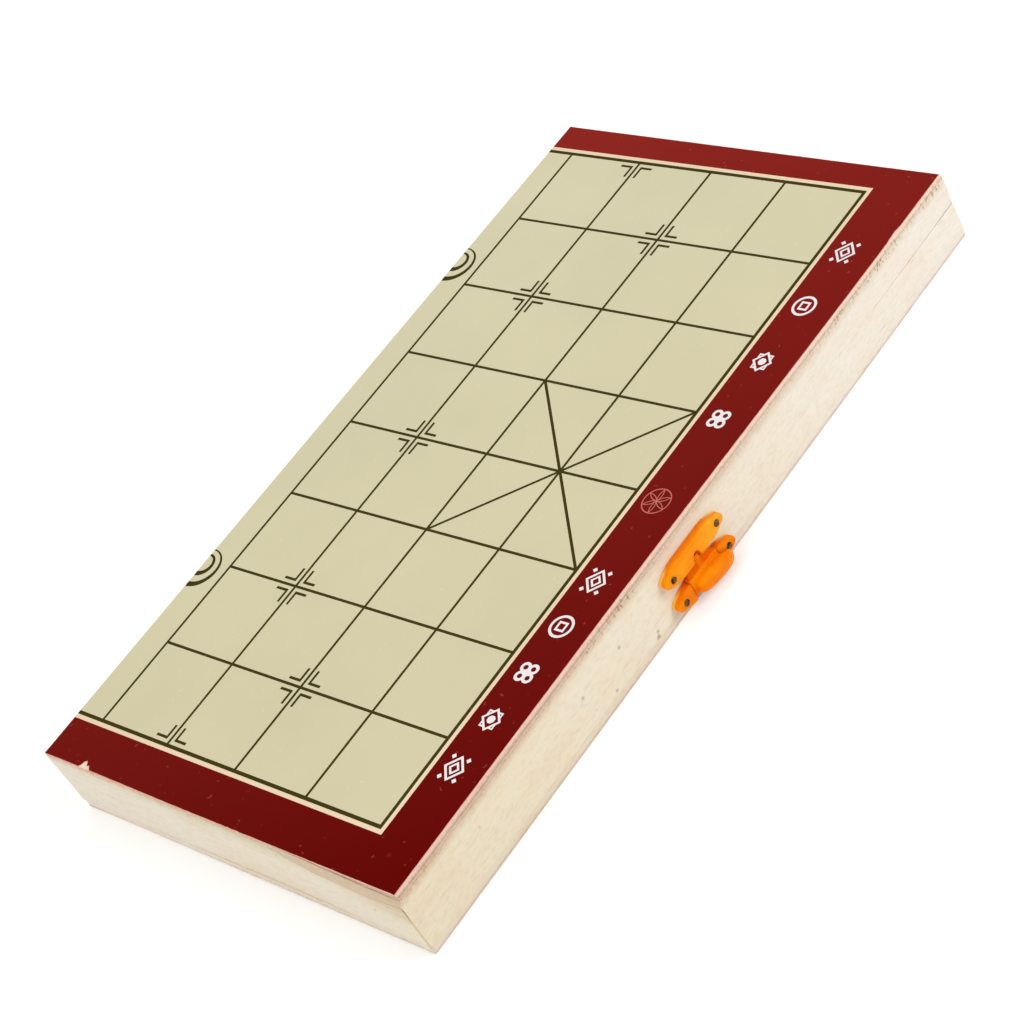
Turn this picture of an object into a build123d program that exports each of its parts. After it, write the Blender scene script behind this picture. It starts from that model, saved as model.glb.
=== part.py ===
"""Folding xiangqi box, closed and lying flat.

Two equal shallow trays of thin wood are hinged along the rear edge. Each has a printed panel glued on
a frame of four mitred rails, so that the opened box shows a whole board. A plastic latch closes the
front, and the chessmen lie in one layer in the lower tray.

Row frame: X along the box, Y from the latch to the hinges, Z up. The origin is the middle of the
frame's footprint, on the surface that the closed box lies on. All sizes are in millimetres.
"""
import os

from build123d import *

# Printed half board
SQUARE_LENGTH = 30.0        # from one file to the next, along the box
SQUARE_DEPTH = 29.3         # from one rank to the next, across it
FILE_SPACES = 8
RANK_SPACES = 4
LEFT_BORDER = 15.9          # from the print's left edge to the first file
RIGHT_BORDER = 11.1
FRONT_BORDER = 18.9
HALF_RIVER = 10.9           # from the last rank to the print's rear edge
PRINT_THICKNESS = 0.2

# Trays
PANEL_THICKNESS = 2.8
RAIL_HEIGHT = 9.6
RAIL_WIDTH = 8.0
END_LEDGE = 1.2             # the frame stands out past the panel by this, at both ends
FRONT_LEDGE = 0.35
REAR_LEDGE = 0.2

# Butt hinges, let into the rims of the rear rails
HINGE_INSET = 55.0          # from the frame's end to the hinge's middle
HINGE_LENGTH = 24.0
KNUCKLES = 5
KNUCKLE_RADIUS = 1.4
KNUCKLE_GAP = 0.15          # along the pin, between neighbours
KNUCKLE_CLEARANCE = 0.25    # round a knuckle, to wood and to the other leaf
FOLD_GAP = 0.1              # from the trays' rear faces to the hinge line
LEAF_THICKNESS = 0.7
LEAF_MARGIN = 1.5           # wood left between the leaf and the rail's inner face
PIN_RADIUS = 0.6
PIN_CLEARANCE = 0.05
PIN_HEAD_RADIUS = 1.0
PIN_HEAD_THICKNESS = 0.4
HINGE_NAIL_RADIUS = 0.6
HINGE_NAIL_HEAD_RADIUS = 1.2
HINGE_NAIL_LENGTH = 5.0
HINGE_NAIL_INSET = 5.0      # from the leaf's end

# Latch plates, nailed to the front rails
LATCH_OFFSET = -6.0         # along X, from the middle of the box
PLATE_LENGTH = 27.5
PLATE_HEIGHT = 6.2
PLATE_THICKNESS = 3.0
PLATE_TAPER = 5.0           # length of the tapered part at each end
PLATE_END_HEIGHT = 2.2      # of the blunt end
PLATE_CORNER_RADIUS = 0.9
PLATE_EDGE_RADIUS = 0.4
CATCH_OVERHANG = 0.4        # the catch plate's lower edge reaches below its rim by this
CATCH_RELIEF = 0.6          # chamfer that keeps that edge off the lower tray
LATCH_GAP = 3.1             # between the two plates
LATCH_NAIL_SPACING = 21.2
LATCH_NAIL_RADIUS = 0.6
LATCH_NAIL_HEAD_RADIUS = 1.05
LATCH_NAIL_HEAD_HEIGHT = 0.6
LATCH_NAIL_DEPTH = 5.0      # into the rail

# Latch tab and the channel that takes its tongue
TAB_WIDTH = 12.6
TAB_SIDE_GAP = 0.3
WEB_THICKNESS = 0.4         # what joins the lower plate's two cheeks behind the tab
HEEL_RADIUS = 1.15
HEEL_CLEARANCE = 0.15
PIVOT_RISE = 1.3            # from the lower plate's bottom edge
STUB_RADIUS = 0.7
STUB_CLEARANCE = 0.05
STUB_LENGTH = 1.1
STUB_END_GAP = 0.3
GRIP_REACH = 5.6            # how far the thumb grip stands out from the front rail
GRIP_HEIGHT = 1.6           # of the grip's nose, above the pivot
GRIP_RADIUS = 1.1
CHANNEL_WIDTH = 6.0
CHANNEL_HEIGHT = 3.4
CHANNEL_FLOOR = 0.6
TONGUE_SIDE_GAP = 0.3
TONGUE_CLEARANCE = 0.15
TONGUE_THICKNESS = 1.0
TONGUE_ENTRY = 2.4          # how far the tongue reaches into the channel

# Chessmen, a little smaller than a square
CHESSMAN_GAP = 3.3
CHESSMAN_THICKNESS = 8.8
CHESSMAN_EDGE_RADIUS = 1.2
GROOVE_INSET = 2.6
GROOVE_WIDTH = 0.7
GROOVE_DEPTH = 0.35
COLUMNS = 8
ROWS = 4
RANKS = {"general": 1, "advisor": 2, "elephant": 2, "horse": 2, "chariot": 2, "cannon": 2, "soldier": 5}
SIDES = ("red", "black")

# Places that follow from the sizes above
print_length = LEFT_BORDER + FILE_SPACES * SQUARE_LENGTH + RIGHT_BORDER
print_depth = FRONT_BORDER + RANK_SPACES * SQUARE_DEPTH + HALF_RIVER
half_length = print_length / 2 + END_LEDGE
half_depth = (FRONT_LEDGE + print_depth + REAR_LEDGE) / 2
panel_top = PRINT_THICKNESS + PANEL_THICKNESS
rim = panel_top + RAIL_HEIGHT
front_face = -half_depth
rear_face = half_depth
hinge_line = rear_face + FOLD_GAP

catch_low = rim - CATCH_OVERHANG
catch_middle = catch_low + PLATE_HEIGHT / 2
latch_high = catch_low - LATCH_GAP
latch_low = latch_high - PLATE_HEIGHT
latch_middle = latch_high - PLATE_HEIGHT / 2
pivot_z = latch_low + PIVOT_RISE
pivot_out = WEB_THICKNESS + HEEL_CLEARANCE + HEEL_RADIUS

parts = {}


def block(x_low, x_high, y_low, y_high, z_low, z_high):
    """Return the box between two corners."""
    size = (x_high - x_low, y_high - y_low, z_high - z_low)
    return Pos(x_low, y_low, z_low) * Box(*size, align=(Align.MIN, Align.MIN, Align.MIN))


def rod_x(x_low, x_high, y, z, radius):
    """Return a cylinder along X."""
    height = x_high - x_low
    return Pos((x_low + x_high) / 2, y, z) * Rot(0, 90, 0) * Cylinder(radius, height)


def slab(points, z_low, z_high):
    """Return the upright prism on a plan outline."""
    return Pos(0, 0, z_low) * extrude(Polygon(*points, align=None), amount=z_high - z_low, dir=(0, 0, 1))


def to_lid(shape):
    """Return the shape's mirror image in the plane where the rims meet."""
    return mirror(shape, about=Plane.XY.offset(rim))


# ---------------------------------------------------------------- trays


def print_sheet():
    """Return the lower tray's printed sheet, the lowest face of the closed box."""
    front = front_face + FRONT_LEDGE
    return block(-print_length / 2, print_length / 2, front, front + print_depth, 0, PRINT_THICKNESS)


def panel():
    """Return the lower tray's panel, which the sheet covers."""
    front = front_face + FRONT_LEDGE
    return block(-print_length / 2, print_length / 2, front, front + print_depth, PRINT_THICKNESS, panel_top)


def long_rail(side):
    """Return a plain rail along X: side -1 is the front one, +1 the rear one."""
    outer, inner = side * half_depth, side * (half_depth - RAIL_WIDTH)
    inner_end = half_length - RAIL_WIDTH
    outline = [(-half_length, outer), (half_length, outer), (inner_end, inner), (-inner_end, inner)]
    return slab(outline, panel_top, rim)


def end_rail(side):
    """Return a rail along Y: side -1 is the left one, +1 the right one."""
    outer, inner = side * half_length, side * (half_length - RAIL_WIDTH)
    inner_end = half_depth - RAIL_WIDTH
    outline = [(outer, -half_depth), (outer, half_depth), (inner, inner_end), (inner, -inner_end)]
    return slab(outline, panel_top, rim)


# ---------------------------------------------------------------- hinges


def knuckle_span(centre, index):
    """Return the two ends of one knuckle, along X."""
    pitch = HINGE_LENGTH / KNUCKLES
    start = centre - HINGE_LENGTH / 2 + index * pitch
    return start + KNUCKLE_GAP / 2, start + pitch - KNUCKLE_GAP / 2


def knuckle_notch(centre):
    """Return what both rear rails lose round the knuckles and the pin's heads."""
    reach = HINGE_LENGTH / 2 + PIN_HEAD_THICKNESS + KNUCKLE_CLEARANCE
    return rod_x(centre - reach, centre + reach, hinge_line, rim, KNUCKLE_RADIUS + KNUCKLE_CLEARANCE)


def leaf_plate(centre):
    """Return the flat of the lower leaf, as the rim's recess takes it."""
    inner = rear_face - RAIL_WIDTH + LEAF_MARGIN
    half = HINGE_LENGTH / 2
    return block(centre - half, centre + half, inner, hinge_line, rim - LEAF_THICKNESS, rim)


def hinge_nails(centre):
    """Return the two countersunk nails of the lower leaf, each in its place."""
    profile = Polygon(
        (0, 0),
        (HINGE_NAIL_HEAD_RADIUS, 0),
        (HINGE_NAIL_RADIUS, -LEAF_THICKNESS),
        (HINGE_NAIL_RADIUS, -HINGE_NAIL_LENGTH),
        (0, -HINGE_NAIL_LENGTH - HINGE_NAIL_RADIUS),
        align=None,
    )
    nail = revolve(Plane.XZ * profile, axis=Axis.Z)
    reach = HINGE_LENGTH / 2 - HINGE_NAIL_INSET
    y = rear_face - (RAIL_WIDTH - LEAF_MARGIN + KNUCKLE_RADIUS) / 2
    return [Pos(centre + side * reach, y, rim) * nail for side in (-1, 1)]


def leaf(centre, own, cutters):
    """Return the lower leaf with its own knuckles, clear of the other leaf's knuckles."""
    shape = leaf_plate(centre)
    for index in range(KNUCKLES):
        low, high = knuckle_span(centre, index)
        if index in own:
            shape += rod_x(low, high, hinge_line, rim, KNUCKLE_RADIUS)
        else:
            clear = KNUCKLE_RADIUS + KNUCKLE_CLEARANCE
            shape -= rod_x(low - KNUCKLE_GAP, high + KNUCKLE_GAP, hinge_line, rim, clear)
    half = HINGE_LENGTH / 2
    shape -= rod_x(centre - half, centre + half, hinge_line, rim, PIN_RADIUS + PIN_CLEARANCE)
    for cutter in cutters:
        shape -= cutter
    return shape


def hinge_pin(centre):
    """Return the pin with its two peened heads."""
    half = HINGE_LENGTH / 2
    shape = rod_x(centre - half, centre + half, hinge_line, rim, PIN_RADIUS)
    for side in (-1, 1):
        ends = sorted((centre + side * half, centre + side * (half + PIN_HEAD_THICKNESS)))
        shape += rod_x(*ends, hinge_line, rim, PIN_HEAD_RADIUS)
    return shape


# ---------------------------------------------------------------- latch


def plate_blank(z_middle):
    """Return a long plate with tapered ends on the front face, before its cuts."""
    half, side = PLATE_LENGTH / 2, PLATE_HEIGHT / 2
    waist, blunt = half - PLATE_TAPER, PLATE_END_HEIGHT / 2
    upper = [(-half, blunt), (-waist, side), (waist, side), (half, blunt)]
    lower = [(x, -z) for x, z in reversed(upper)]
    outline = Polygon(*upper, *lower, align=None)
    outline = fillet(outline.vertices(), PLATE_CORNER_RADIUS)
    shape = extrude(Plane.XZ * outline, amount=PLATE_THICKNESS, dir=(0, -1, 0))
    front_edges = shape.faces().sort_by(Axis.Y)[0].edges()
    shape = fillet(front_edges, PLATE_EDGE_RADIUS)
    return Pos(LATCH_OFFSET, front_face, z_middle) * shape


def latch_nails(z_middle):
    """Return the two dome-headed nails through one plate, each in its place."""
    radius, height = LATCH_NAIL_HEAD_RADIUS, LATCH_NAIL_HEAD_HEIGHT
    depth = PLATE_THICKNESS + LATCH_NAIL_DEPTH
    bulge = (radius**2 + height**2) / (2 * height)
    dome = Pos(0, 0, height - bulge) * Sphere(bulge) & Cylinder(
        radius, height, align=(Align.CENTER, Align.CENTER, Align.MIN)
    )
    shank = Cylinder(LATCH_NAIL_RADIUS, depth, align=(Align.CENTER, Align.CENTER, Align.MAX))
    nail = Rot(90, 0, 0) * (dome + shank)
    reach = LATCH_NAIL_SPACING / 2
    y = front_face - PLATE_THICKNESS
    return [Pos(LATCH_OFFSET + side * reach, y, z_middle) * nail for side in (-1, 1)]


def catch_plate(nails):
    """Return the upper plate, with its channel open at the front and below."""
    shape = plate_blank(catch_middle)
    half = CHANNEL_WIDTH / 2
    shape -= block(
        LATCH_OFFSET - half,
        LATCH_OFFSET + half,
        front_face - 2 * PLATE_THICKNESS,
        front_face - CHANNEL_FLOOR,
        catch_low - PLATE_HEIGHT,
        catch_low + CHANNEL_HEIGHT,
    )
    relief = Polygon(
        (front_face, catch_low),
        (front_face - CATCH_RELIEF, catch_low),
        (front_face, rim + CATCH_RELIEF),
        align=None,
    )
    shape -= Pos(LATCH_OFFSET, 0, 0) * extrude(Plane.YZ * relief, amount=PLATE_LENGTH, both=True)
    for nail in nails:
        shape -= nail
    return shape


def lower_plate(nails):
    """Return the lower plate: two cheeks with the tab's bearings, joined by a thin web."""
    shape = plate_blank(latch_middle)
    half = TAB_WIDTH / 2 + TAB_SIDE_GAP
    shape -= block(
        LATCH_OFFSET - half,
        LATCH_OFFSET + half,
        front_face - 2 * PLATE_THICKNESS,
        front_face - WEB_THICKNESS,
        latch_low - PLATE_HEIGHT,
        latch_high + PLATE_HEIGHT,
    )
    reach = TAB_WIDTH / 2 + STUB_LENGTH + STUB_END_GAP
    bearing = rod_x(-reach, reach, front_face - pivot_out, pivot_z, STUB_RADIUS + STUB_CLEARANCE)
    shape -= Pos(LATCH_OFFSET, 0, 0) * bearing
    for nail in nails:
        shape -= nail
    return shape


def tab():
    """Return the thumb tab with its heel, grip, stubs and tongue."""
    back = -(WEB_THICKNESS + HEEL_CLEARANCE)
    shoulder = PLATE_HEIGHT - PIVOT_RISE
    section = Polygon(
        (back, 0),
        (back, shoulder),
        (-PLATE_THICKNESS, shoulder),
        (-GRIP_REACH, GRIP_HEIGHT),
        (-GRIP_REACH, GRIP_HEIGHT - GRIP_RADIUS),
        (-pivot_out, -HEEL_RADIUS),
        (-pivot_out, 0),
        align=None,
    )
    section += Pos(-pivot_out, 0) * Circle(HEEL_RADIUS)
    body = extrude(Plane.YZ * section, amount=TAB_WIDTH / 2, both=True)
    grip_edges = body.edges().filter_by(Axis.X).group_by(Axis.Y)[0]
    body = fillet(grip_edges, GRIP_RADIUS / 3)

    low = -(CHANNEL_FLOOR + TONGUE_CLEARANCE + TONGUE_THICKNESS)
    high = -(CHANNEL_FLOOR + TONGUE_CLEARANCE)
    half = CHANNEL_WIDTH / 2 - TONGUE_SIDE_GAP
    tip = catch_low + TONGUE_ENTRY - pivot_z
    tongue = block(-half, half, low, high, shoulder - TONGUE_THICKNESS, tip)
    body += tongue
    body += rod_x(-TAB_WIDTH / 2 - STUB_LENGTH, TAB_WIDTH / 2 + STUB_LENGTH, -pivot_out, 0, STUB_RADIUS)
    return Pos(LATCH_OFFSET, front_face, pivot_z) * body


# ---------------------------------------------------------------- chessmen


def chessman():
    """Return one plain disc with a ring groove, standing on Z = 0."""
    radius = (min(SQUARE_LENGTH, SQUARE_DEPTH) - CHESSMAN_GAP) / 2
    disc = Cylinder(radius, CHESSMAN_THICKNESS, align=(Align.CENTER, Align.CENTER, Align.MIN))
    disc = fillet(disc.edges().filter_by(GeomType.CIRCLE), CHESSMAN_EDGE_RADIUS)
    outer = radius - GROOVE_INSET
    bottom = (Align.CENTER, Align.CENTER, Align.MAX)
    ring = Cylinder(outer, GROOVE_DEPTH, align=bottom)
    ring -= Cylinder(outer - GROOVE_WIDTH, GROOVE_DEPTH, align=bottom)
    return disc - Pos(0, 0, CHESSMAN_THICKNESS) * ring


def chessman_names():
    """Return the names of all chessmen, side by side and rank by rank."""
    names = []
    for side in SIDES:
        for rank, count in RANKS.items():
            for number in range(1, count + 1):
                names.append(f"{side}_{rank}" if count == 1 else f"{side}_{rank}_{number}")
    return names


def chessman_places():
    """Return the places of the layer in the lower tray, column by column."""
    pitch_x = 2 * (half_length - RAIL_WIDTH) / COLUMNS
    pitch_y = 2 * (half_depth - RAIL_WIDTH) / ROWS
    places = []
    for column in range(COLUMNS):
        for row in range(ROWS):
            places.append(((column - (COLUMNS - 1) / 2) * pitch_x, ((ROWS - 1) / 2 - row) * pitch_y))
    return places


# ---------------------------------------------------------------- assembly


def add_trays():
    """Add both trays, with every recess that the hinges and nails need."""
    sheet, board = print_sheet(), panel()
    parts["base_print"], parts["lid_print"] = sheet, to_lid(sheet)
    parts["base_panel"], parts["lid_panel"] = board, to_lid(board)
    for name, side in (("left", -1), ("right", 1)):
        rail = end_rail(side)
        parts[f"base_{name}_rail"], parts[f"lid_{name}_rail"] = rail, to_lid(rail)

    rear = long_rail(1)
    for centre in hinge_centres.values():
        rear -= knuckle_notch(centre)
        rear -= leaf_plate(centre)
        for nail in hinge_nails(centre):
            rear -= nail
    parts["base_rear_rail"], parts["lid_rear_rail"] = rear, to_lid(rear)

    front = long_rail(-1)
    base_front, lid_front = front, to_lid(front)
    for nail in latch_nails(latch_middle):
        base_front -= nail
    for nail in latch_nails(catch_middle):
        lid_front -= nail
    parts["base_front_rail"], parts["lid_front_rail"] = base_front, lid_front


def add_hinges():
    """Add the leaves, pins and nails of both hinges."""
    base_nails, lid_nails = [], []
    even, odd = range(0, KNUCKLES, 2), range(1, KNUCKLES, 2)
    for name, centre in hinge_centres.items():
        nails = hinge_nails(centre)
        parts[f"{name}_hinge_base_leaf"] = leaf(centre, even, nails)
        parts[f"{name}_hinge_lid_leaf"] = to_lid(leaf(centre, odd, nails))
        parts[f"{name}_hinge_pin"] = hinge_pin(centre)
        base_nails += nails
        lid_nails += [to_lid(nail) for nail in nails]
    parts["hinge_base_nails"] = Compound(children=base_nails)
    parts["hinge_lid_nails"] = Compound(children=lid_nails)


def add_latch():
    """Add both plates, the tab and the four nails."""
    upper_nails, lower_nails = latch_nails(catch_middle), latch_nails(latch_middle)
    parts["catch_plate"] = catch_plate(upper_nails)
    parts["latch_plate"] = lower_plate(lower_nails)
    parts["latch_tab"] = tab()
    parts["catch_nails"] = Compound(children=upper_nails)
    parts["latch_nails"] = Compound(children=lower_nails)


def add_chessmen():
    """Add the layer of chessmen on the lower panel."""
    disc = chessman()
    for name, (x, y) in zip(chessman_names(), chessman_places()):
        parts[name] = Pos(x, y, panel_top) * disc


hinge_centres = {"left": -(half_length - HINGE_INSET), "right": half_length - HINGE_INSET}
add_trays()
add_hinges()
add_latch()
add_chessmen()

os.makedirs("parts", exist_ok=True)
for node, shape in parts.items():
    export_step(shape, f"parts/{node}.step")
print(f"{len(parts)} nodes, closed size {2 * half_length:.1f} x {2 * half_depth:.1f} x {2 * rim:.1f} mm")
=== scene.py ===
"""Looks of the folding xiangqi box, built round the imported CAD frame.

Outlines and sizes are in millimetres in the frame's own coordinates: X along the box, Y from the latch to
the hinges, Z up. piece_mesh turns them into metres, which the shader code works in. Places on the printed
board are in squares: file 0 to 8 along X, and rank 0 to 4 from the border towards the fold.
"""
import math
import random

import bmesh
import bpy
from bmesh.types import BMEdge, BMFace, BMVert
from mathutils import Matrix, Vector, noise
from mathutils.geometry import delaunay_2d_cdt


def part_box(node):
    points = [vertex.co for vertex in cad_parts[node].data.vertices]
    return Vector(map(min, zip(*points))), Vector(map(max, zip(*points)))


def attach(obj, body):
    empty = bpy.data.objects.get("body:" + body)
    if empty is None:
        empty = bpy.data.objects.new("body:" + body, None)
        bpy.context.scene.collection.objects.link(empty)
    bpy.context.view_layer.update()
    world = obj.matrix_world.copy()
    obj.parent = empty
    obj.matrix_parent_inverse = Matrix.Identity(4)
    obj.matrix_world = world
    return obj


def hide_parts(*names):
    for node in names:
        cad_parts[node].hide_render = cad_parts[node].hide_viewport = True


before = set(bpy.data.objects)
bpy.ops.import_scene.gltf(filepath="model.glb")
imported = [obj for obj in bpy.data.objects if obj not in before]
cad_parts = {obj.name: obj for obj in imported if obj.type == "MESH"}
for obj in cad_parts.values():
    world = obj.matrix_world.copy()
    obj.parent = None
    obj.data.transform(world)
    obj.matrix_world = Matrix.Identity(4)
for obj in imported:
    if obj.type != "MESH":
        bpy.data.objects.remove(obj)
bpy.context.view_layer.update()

MM = 0.001


def corners(node):
    """Return a CAD node's lowest and highest corners in millimetres."""
    low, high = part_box(node)
    return Vector(low) / MM, Vector(high) / MM


# Sizes that the CAD gives
rail_low, rail_high = corners("lid_front_rail")
end_low, end_high = corners("lid_left_rail")
panel_low, panel_high = corners("lid_panel")
print_low, print_high = corners("lid_print")
catch_low, catch_high = corners("catch_plate")
latch_low, latch_high = corners("latch_plate")
HALF_LENGTH = rail_high.x
HALF_DEPTH = -rail_low.y
FACE = -HALF_DEPTH  # the front rails' outer face
RAIL_WIDTH = end_high.x - end_low.x
RIM = rail_low.z  # the plane where the trays meet
RAIL_TOP = rail_high.z
RAIL_HEIGHT = RAIL_TOP - RIM
PANEL_TOP = panel_high.z
PRINT_TOP = print_high.z
PLATE = FACE - catch_low.y  # thickness of the latch plates
LATCH_X = (catch_low.x + catch_high.x) / 2

# Layout of the printed half board, in millimetres
SQUARE_LENGTH = 30.0
SQUARE_DEPTH = 29.3
FIRST_FILE = print_low.x + 15.9
FIRST_RANK = print_low.y + 18.9
REAR_EDGE = print_high.y + 0.15  # the sheets are cut nearly flush with the fold
FOLD_SKEW = 1.0  # how far the rear edge is cut back at its right end
BITE_AT = 108.3  # X of the torn place in the sheet's front edge
BITE_HALF = 2.6  # half its length
BITE_DEPTH = 0.34
CHIP_AT = 55.4  # Y of the chip in its left edge
CHIP = (  # points of the chip: depth, and Y from there
    (0.0, 2.6), (0.8, 1.9), (2.0, 1.5), (2.5, 0.6), (1.0, -0.3), (1.3, -1.1), (0.0, -2.4),
)

# The same, in squares
FILE_SPACES = 8
RANK_SPACES = 4
FOLD = (REAR_EDGE - FIRST_RANK) / SQUARE_DEPTH
STRIP = 0.074  # from the first line to the red border
FRAME_LINE_OUT = 0.028  # from the first line to the frame line's outer side
FRAME_LINE_IN = 0.013
GRID_LINE = 0.031  # width of a line
MARK_LINE = 0.030
MARK_OFFSET = 0.052  # from a crossing to its corner marks
MARK_ARM = 0.165
BORDER_MIDDLE = -0.30  # rank of the front border's ornaments
LOZENGE_FILES = (0.745, 2.94, 7.21)
STAR_FILES = (1.303, 5.727)
QUATREFOIL_FILES = (1.848, 4.976)
COIN_FILES = (2.394, 6.473)
RING_FILE = 3.93
CLOUD_FILES = (1.89, 6.24)

# How far the lid's edges run out of true, mostly at its front right corner
SWELLING = 1.4  # the front edge stands out by this
SWELLING_FROM = -45.0  # X where that starts
SWELLING_RUN = 165.0
FRONT_SHIFT = 0.22  # what the front edge stands out by everywhere
FRONT_ZONE = -50.0  # Y where the shift of the front edge starts
FRONT_ZONE_RUN = 23.0
RIGHT_OUT = 0.37  # the right edge stands out by this
RIGHT_SKEW = 0.0068  # and is off square by this share
LEFT_BOW = 0.3  # the sheet's left edge stands out by this, except at the back
LEFT_BOW_FROM = 60.0  # Y where that starts, towards the front
LEFT_BOW_RUN = 50.0


def smooth_step(value):
    """Return a smooth rise from 0 to 1 as the value goes from 0 to 1."""
    value = max(0.0, min(1.0, value))
    return value * value * (3 - 2 * value)


def swelling(x):
    """Return how much of the front edge's swelling has come in at x, from 0 to 1."""
    return smooth_step((x - SWELLING_FROM) / SWELLING_RUN)


def front_share(y):
    """Return 1 along the front edge, and less behind it."""
    return smooth_step((FRONT_ZONE - y) / FRONT_ZONE_RUN)


def ripple(x, y, z, scale):
    """Return smooth noise from -1 to 1, with shorter waves in plan for a larger scale."""
    return noise.noise(Vector((x * scale, y * scale, z)))


# -------- shader helpers


def set_inputs(node, **inputs):
    """Set a node's inputs to values or sockets. They are named with _ for a space, or iN for the Nth."""
    for key, value in inputs.items():
        by_number = key[0] == "i" and key[1:].isdigit()
        socket = node.inputs[int(key[1:])] if by_number else node.inputs[key.replace("_", " ")]
        if isinstance(value, bpy.types.NodeSocket):
            node.id_data.links.new(value, socket)
        elif socket.type == "RGBA":
            socket.default_value = (*value, 1.0)
        else:
            socket.default_value = value
    return node


def add_node(tree, kind, settings=(), **inputs):
    """Add a node with its settings and inputs."""
    made = tree.nodes.new("ShaderNode" + kind)
    for key, value in dict(settings).items():
        setattr(made, key, value)
    return set_inputs(made, **inputs)


def new_material(name, **inputs):
    """Return a material, its node tree and its shader, with the shader's own sockets set."""
    material = bpy.data.materials.new(name)
    material.use_nodes = True
    tree = material.node_tree
    return material, tree, set_inputs(tree.nodes["Principled BSDF"], **inputs)


def mix(factor, a, b, blend="MIX"):
    """Return the colour between a and b, which may be plain colours."""
    settings = {"data_type": "RGBA", "blend_type": blend}
    return add_node(factor.id_data, "Mix", settings, i0=factor, i6=a, i7=b).outputs[2]


def tinted(factor, colour, tint):
    """Return the colour multiplied by a tint, where factor is 1."""
    return mix(factor, colour, tint, "MULTIPLY")


def ramp(value, low, high, to_low=0.0, to_high=1.0):
    """Return value mapped from low..high to the given range, and clamped."""
    limits = {"From_Min": low, "From_Max": high, "To_Min": to_low, "To_Max": to_high}
    return add_node(value.id_data, "MapRange", {"clamp": True}, Value=value, **limits).outputs[0]


def combined(operation, first, *others):
    """Return values put together by a math operation, from left to right."""
    for other in others:
        first = add_node(first.id_data, "Math", {"operation": operation}, i0=first, i1=other).outputs[0]
    return first


def coordinates(tree, stretch=(1, 1, 1), slant=0.0):
    """Return the piece's own coordinates in metres, stretched along each axis and turned about Y."""
    place = add_node(tree, "TexCoord").outputs["Object"]
    return add_node(tree, "Mapping", Vector=place, Scale=stretch, Rotation=(0.0, slant, 0.0)).outputs[0]


def noise_field(tree, scale, detail=3.0, rough=0.55, stretch=(1, 1, 1), slant=0.0):
    made = add_node(tree, "TexNoise", Vector=coordinates(tree, stretch, slant), Scale=scale, Detail=detail,
                    Roughness=rough)
    return made.outputs["Fac"]


def axis(tree, name):
    """Return one of the piece's own coordinates."""
    return add_node(tree, "SeparateXYZ", Vector=coordinates(tree)).outputs[name]


def across(tree):
    """Return a position along the box's diagonal, from the near left corner to the far right one."""
    return combined("ADD", axis(tree, "X"), axis(tree, "Y"))


def above_rim(tree):
    """Return the height above the plane where the trays meet."""
    return combined("SUBTRACT", axis(tree, "Z"), RIM * MM)


def beside(tree, x):
    """Return the distance in metres, to either side, from an X given in millimetres."""
    return combined("ABSOLUTE", combined("SUBTRACT", axis(tree, "X"), x * MM), 0.0)


def distance_to(tree, point, stretch=(1, 1, 1)):
    """Return the distance in metres to a point given in millimetres."""
    centre = [value * MM for value in point]
    made = add_node(tree, "VectorMath", {"operation": "DISTANCE"}, i0=coordinates(tree, stretch), i1=centre)
    return made.outputs["Value"]


def bump(height, distance, strength):
    """Return a surface normal that shows a relief, whose depth is in millimetres."""
    made = add_node(height.id_data, "Bump", Height=height, Distance=distance * MM, Strength=strength)
    return made.outputs[0]


# -------- materials

DOTS_AT = -39.0  # X of the dotted saw marks on the front edge
SAW_TINT = (0.58, 0.58, 0.46)
# The far right colours are lighter: painted light.
EDGE_COLOURS = (  # share of the board edge's height, colour at the near left and at the far right
    (0.0, (0.74, 0.57, 0.44), (0.86, 0.78, 0.64)),
    (0.24, (0.71, 0.55, 0.43), (0.83, 0.75, 0.61)),
    (0.36, (0.64, 0.47, 0.36), (0.77, 0.66, 0.53)),
    (0.50, (0.72, 0.54, 0.43), (0.82, 0.67, 0.54)),
    (0.72, (0.82, 0.62, 0.51), (0.94, 0.74, 0.61)),
    (0.92, (0.88, 0.62, 0.50), (0.98, 0.70, 0.57)),
    (1.0, (0.82, 0.48, 0.38), (0.94, 0.58, 0.47)),
)


def saw_marks(tree):
    """Return a mask of short slanted saw marks along the lid's upper edge, dense at its right end."""
    dots = ramp(beside(tree, DOTS_AT), 0.010, 0.016, 1.0, 0.0)
    where = combined("MAXIMUM", dots, ramp(axis(tree, "X"), 0.045, 0.085), 0.3)
    patches = ramp(noise_field(tree, 70, 2.0), 0.42, 0.58, 0.35, 1.0)
    height = above_rim(tree)
    rise, fall = ramp(height, 0.0082, 0.0092), ramp(height, 0.0112, 0.0120, 1.0, 0.0)
    strokes = ramp(noise_field(tree, 1450, 2.0, 0.6, (1.0, 0.4, 0.4), 0.6), 0.55, 0.60)
    return combined("MULTIPLY", where, patches, rise, fall, strokes)


def dusty(tree):
    """Return a mask of fine speckles, which breaks up the ink that has rubbed off along the sheet's edge."""
    return ramp(noise_field(tree, 1500, 2.0, 0.7), 0.40, 0.60, 0.25, 1.25)


def spots(colour, places, radius, tint):
    """Return the colour with small ragged spots at places in millimetres."""
    tree = colour.id_data
    for place in places:
        ragged = ramp(noise_field(tree, 1500), 0, 1, 0, 0.0008)
        reach = combined("ADD", distance_to(tree, place), ragged)
        colour = mix(ramp(reach, 0.0004, (radius + 0.5) * MM, 0.75, 0.0), colour, tint)
    return colour


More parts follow.
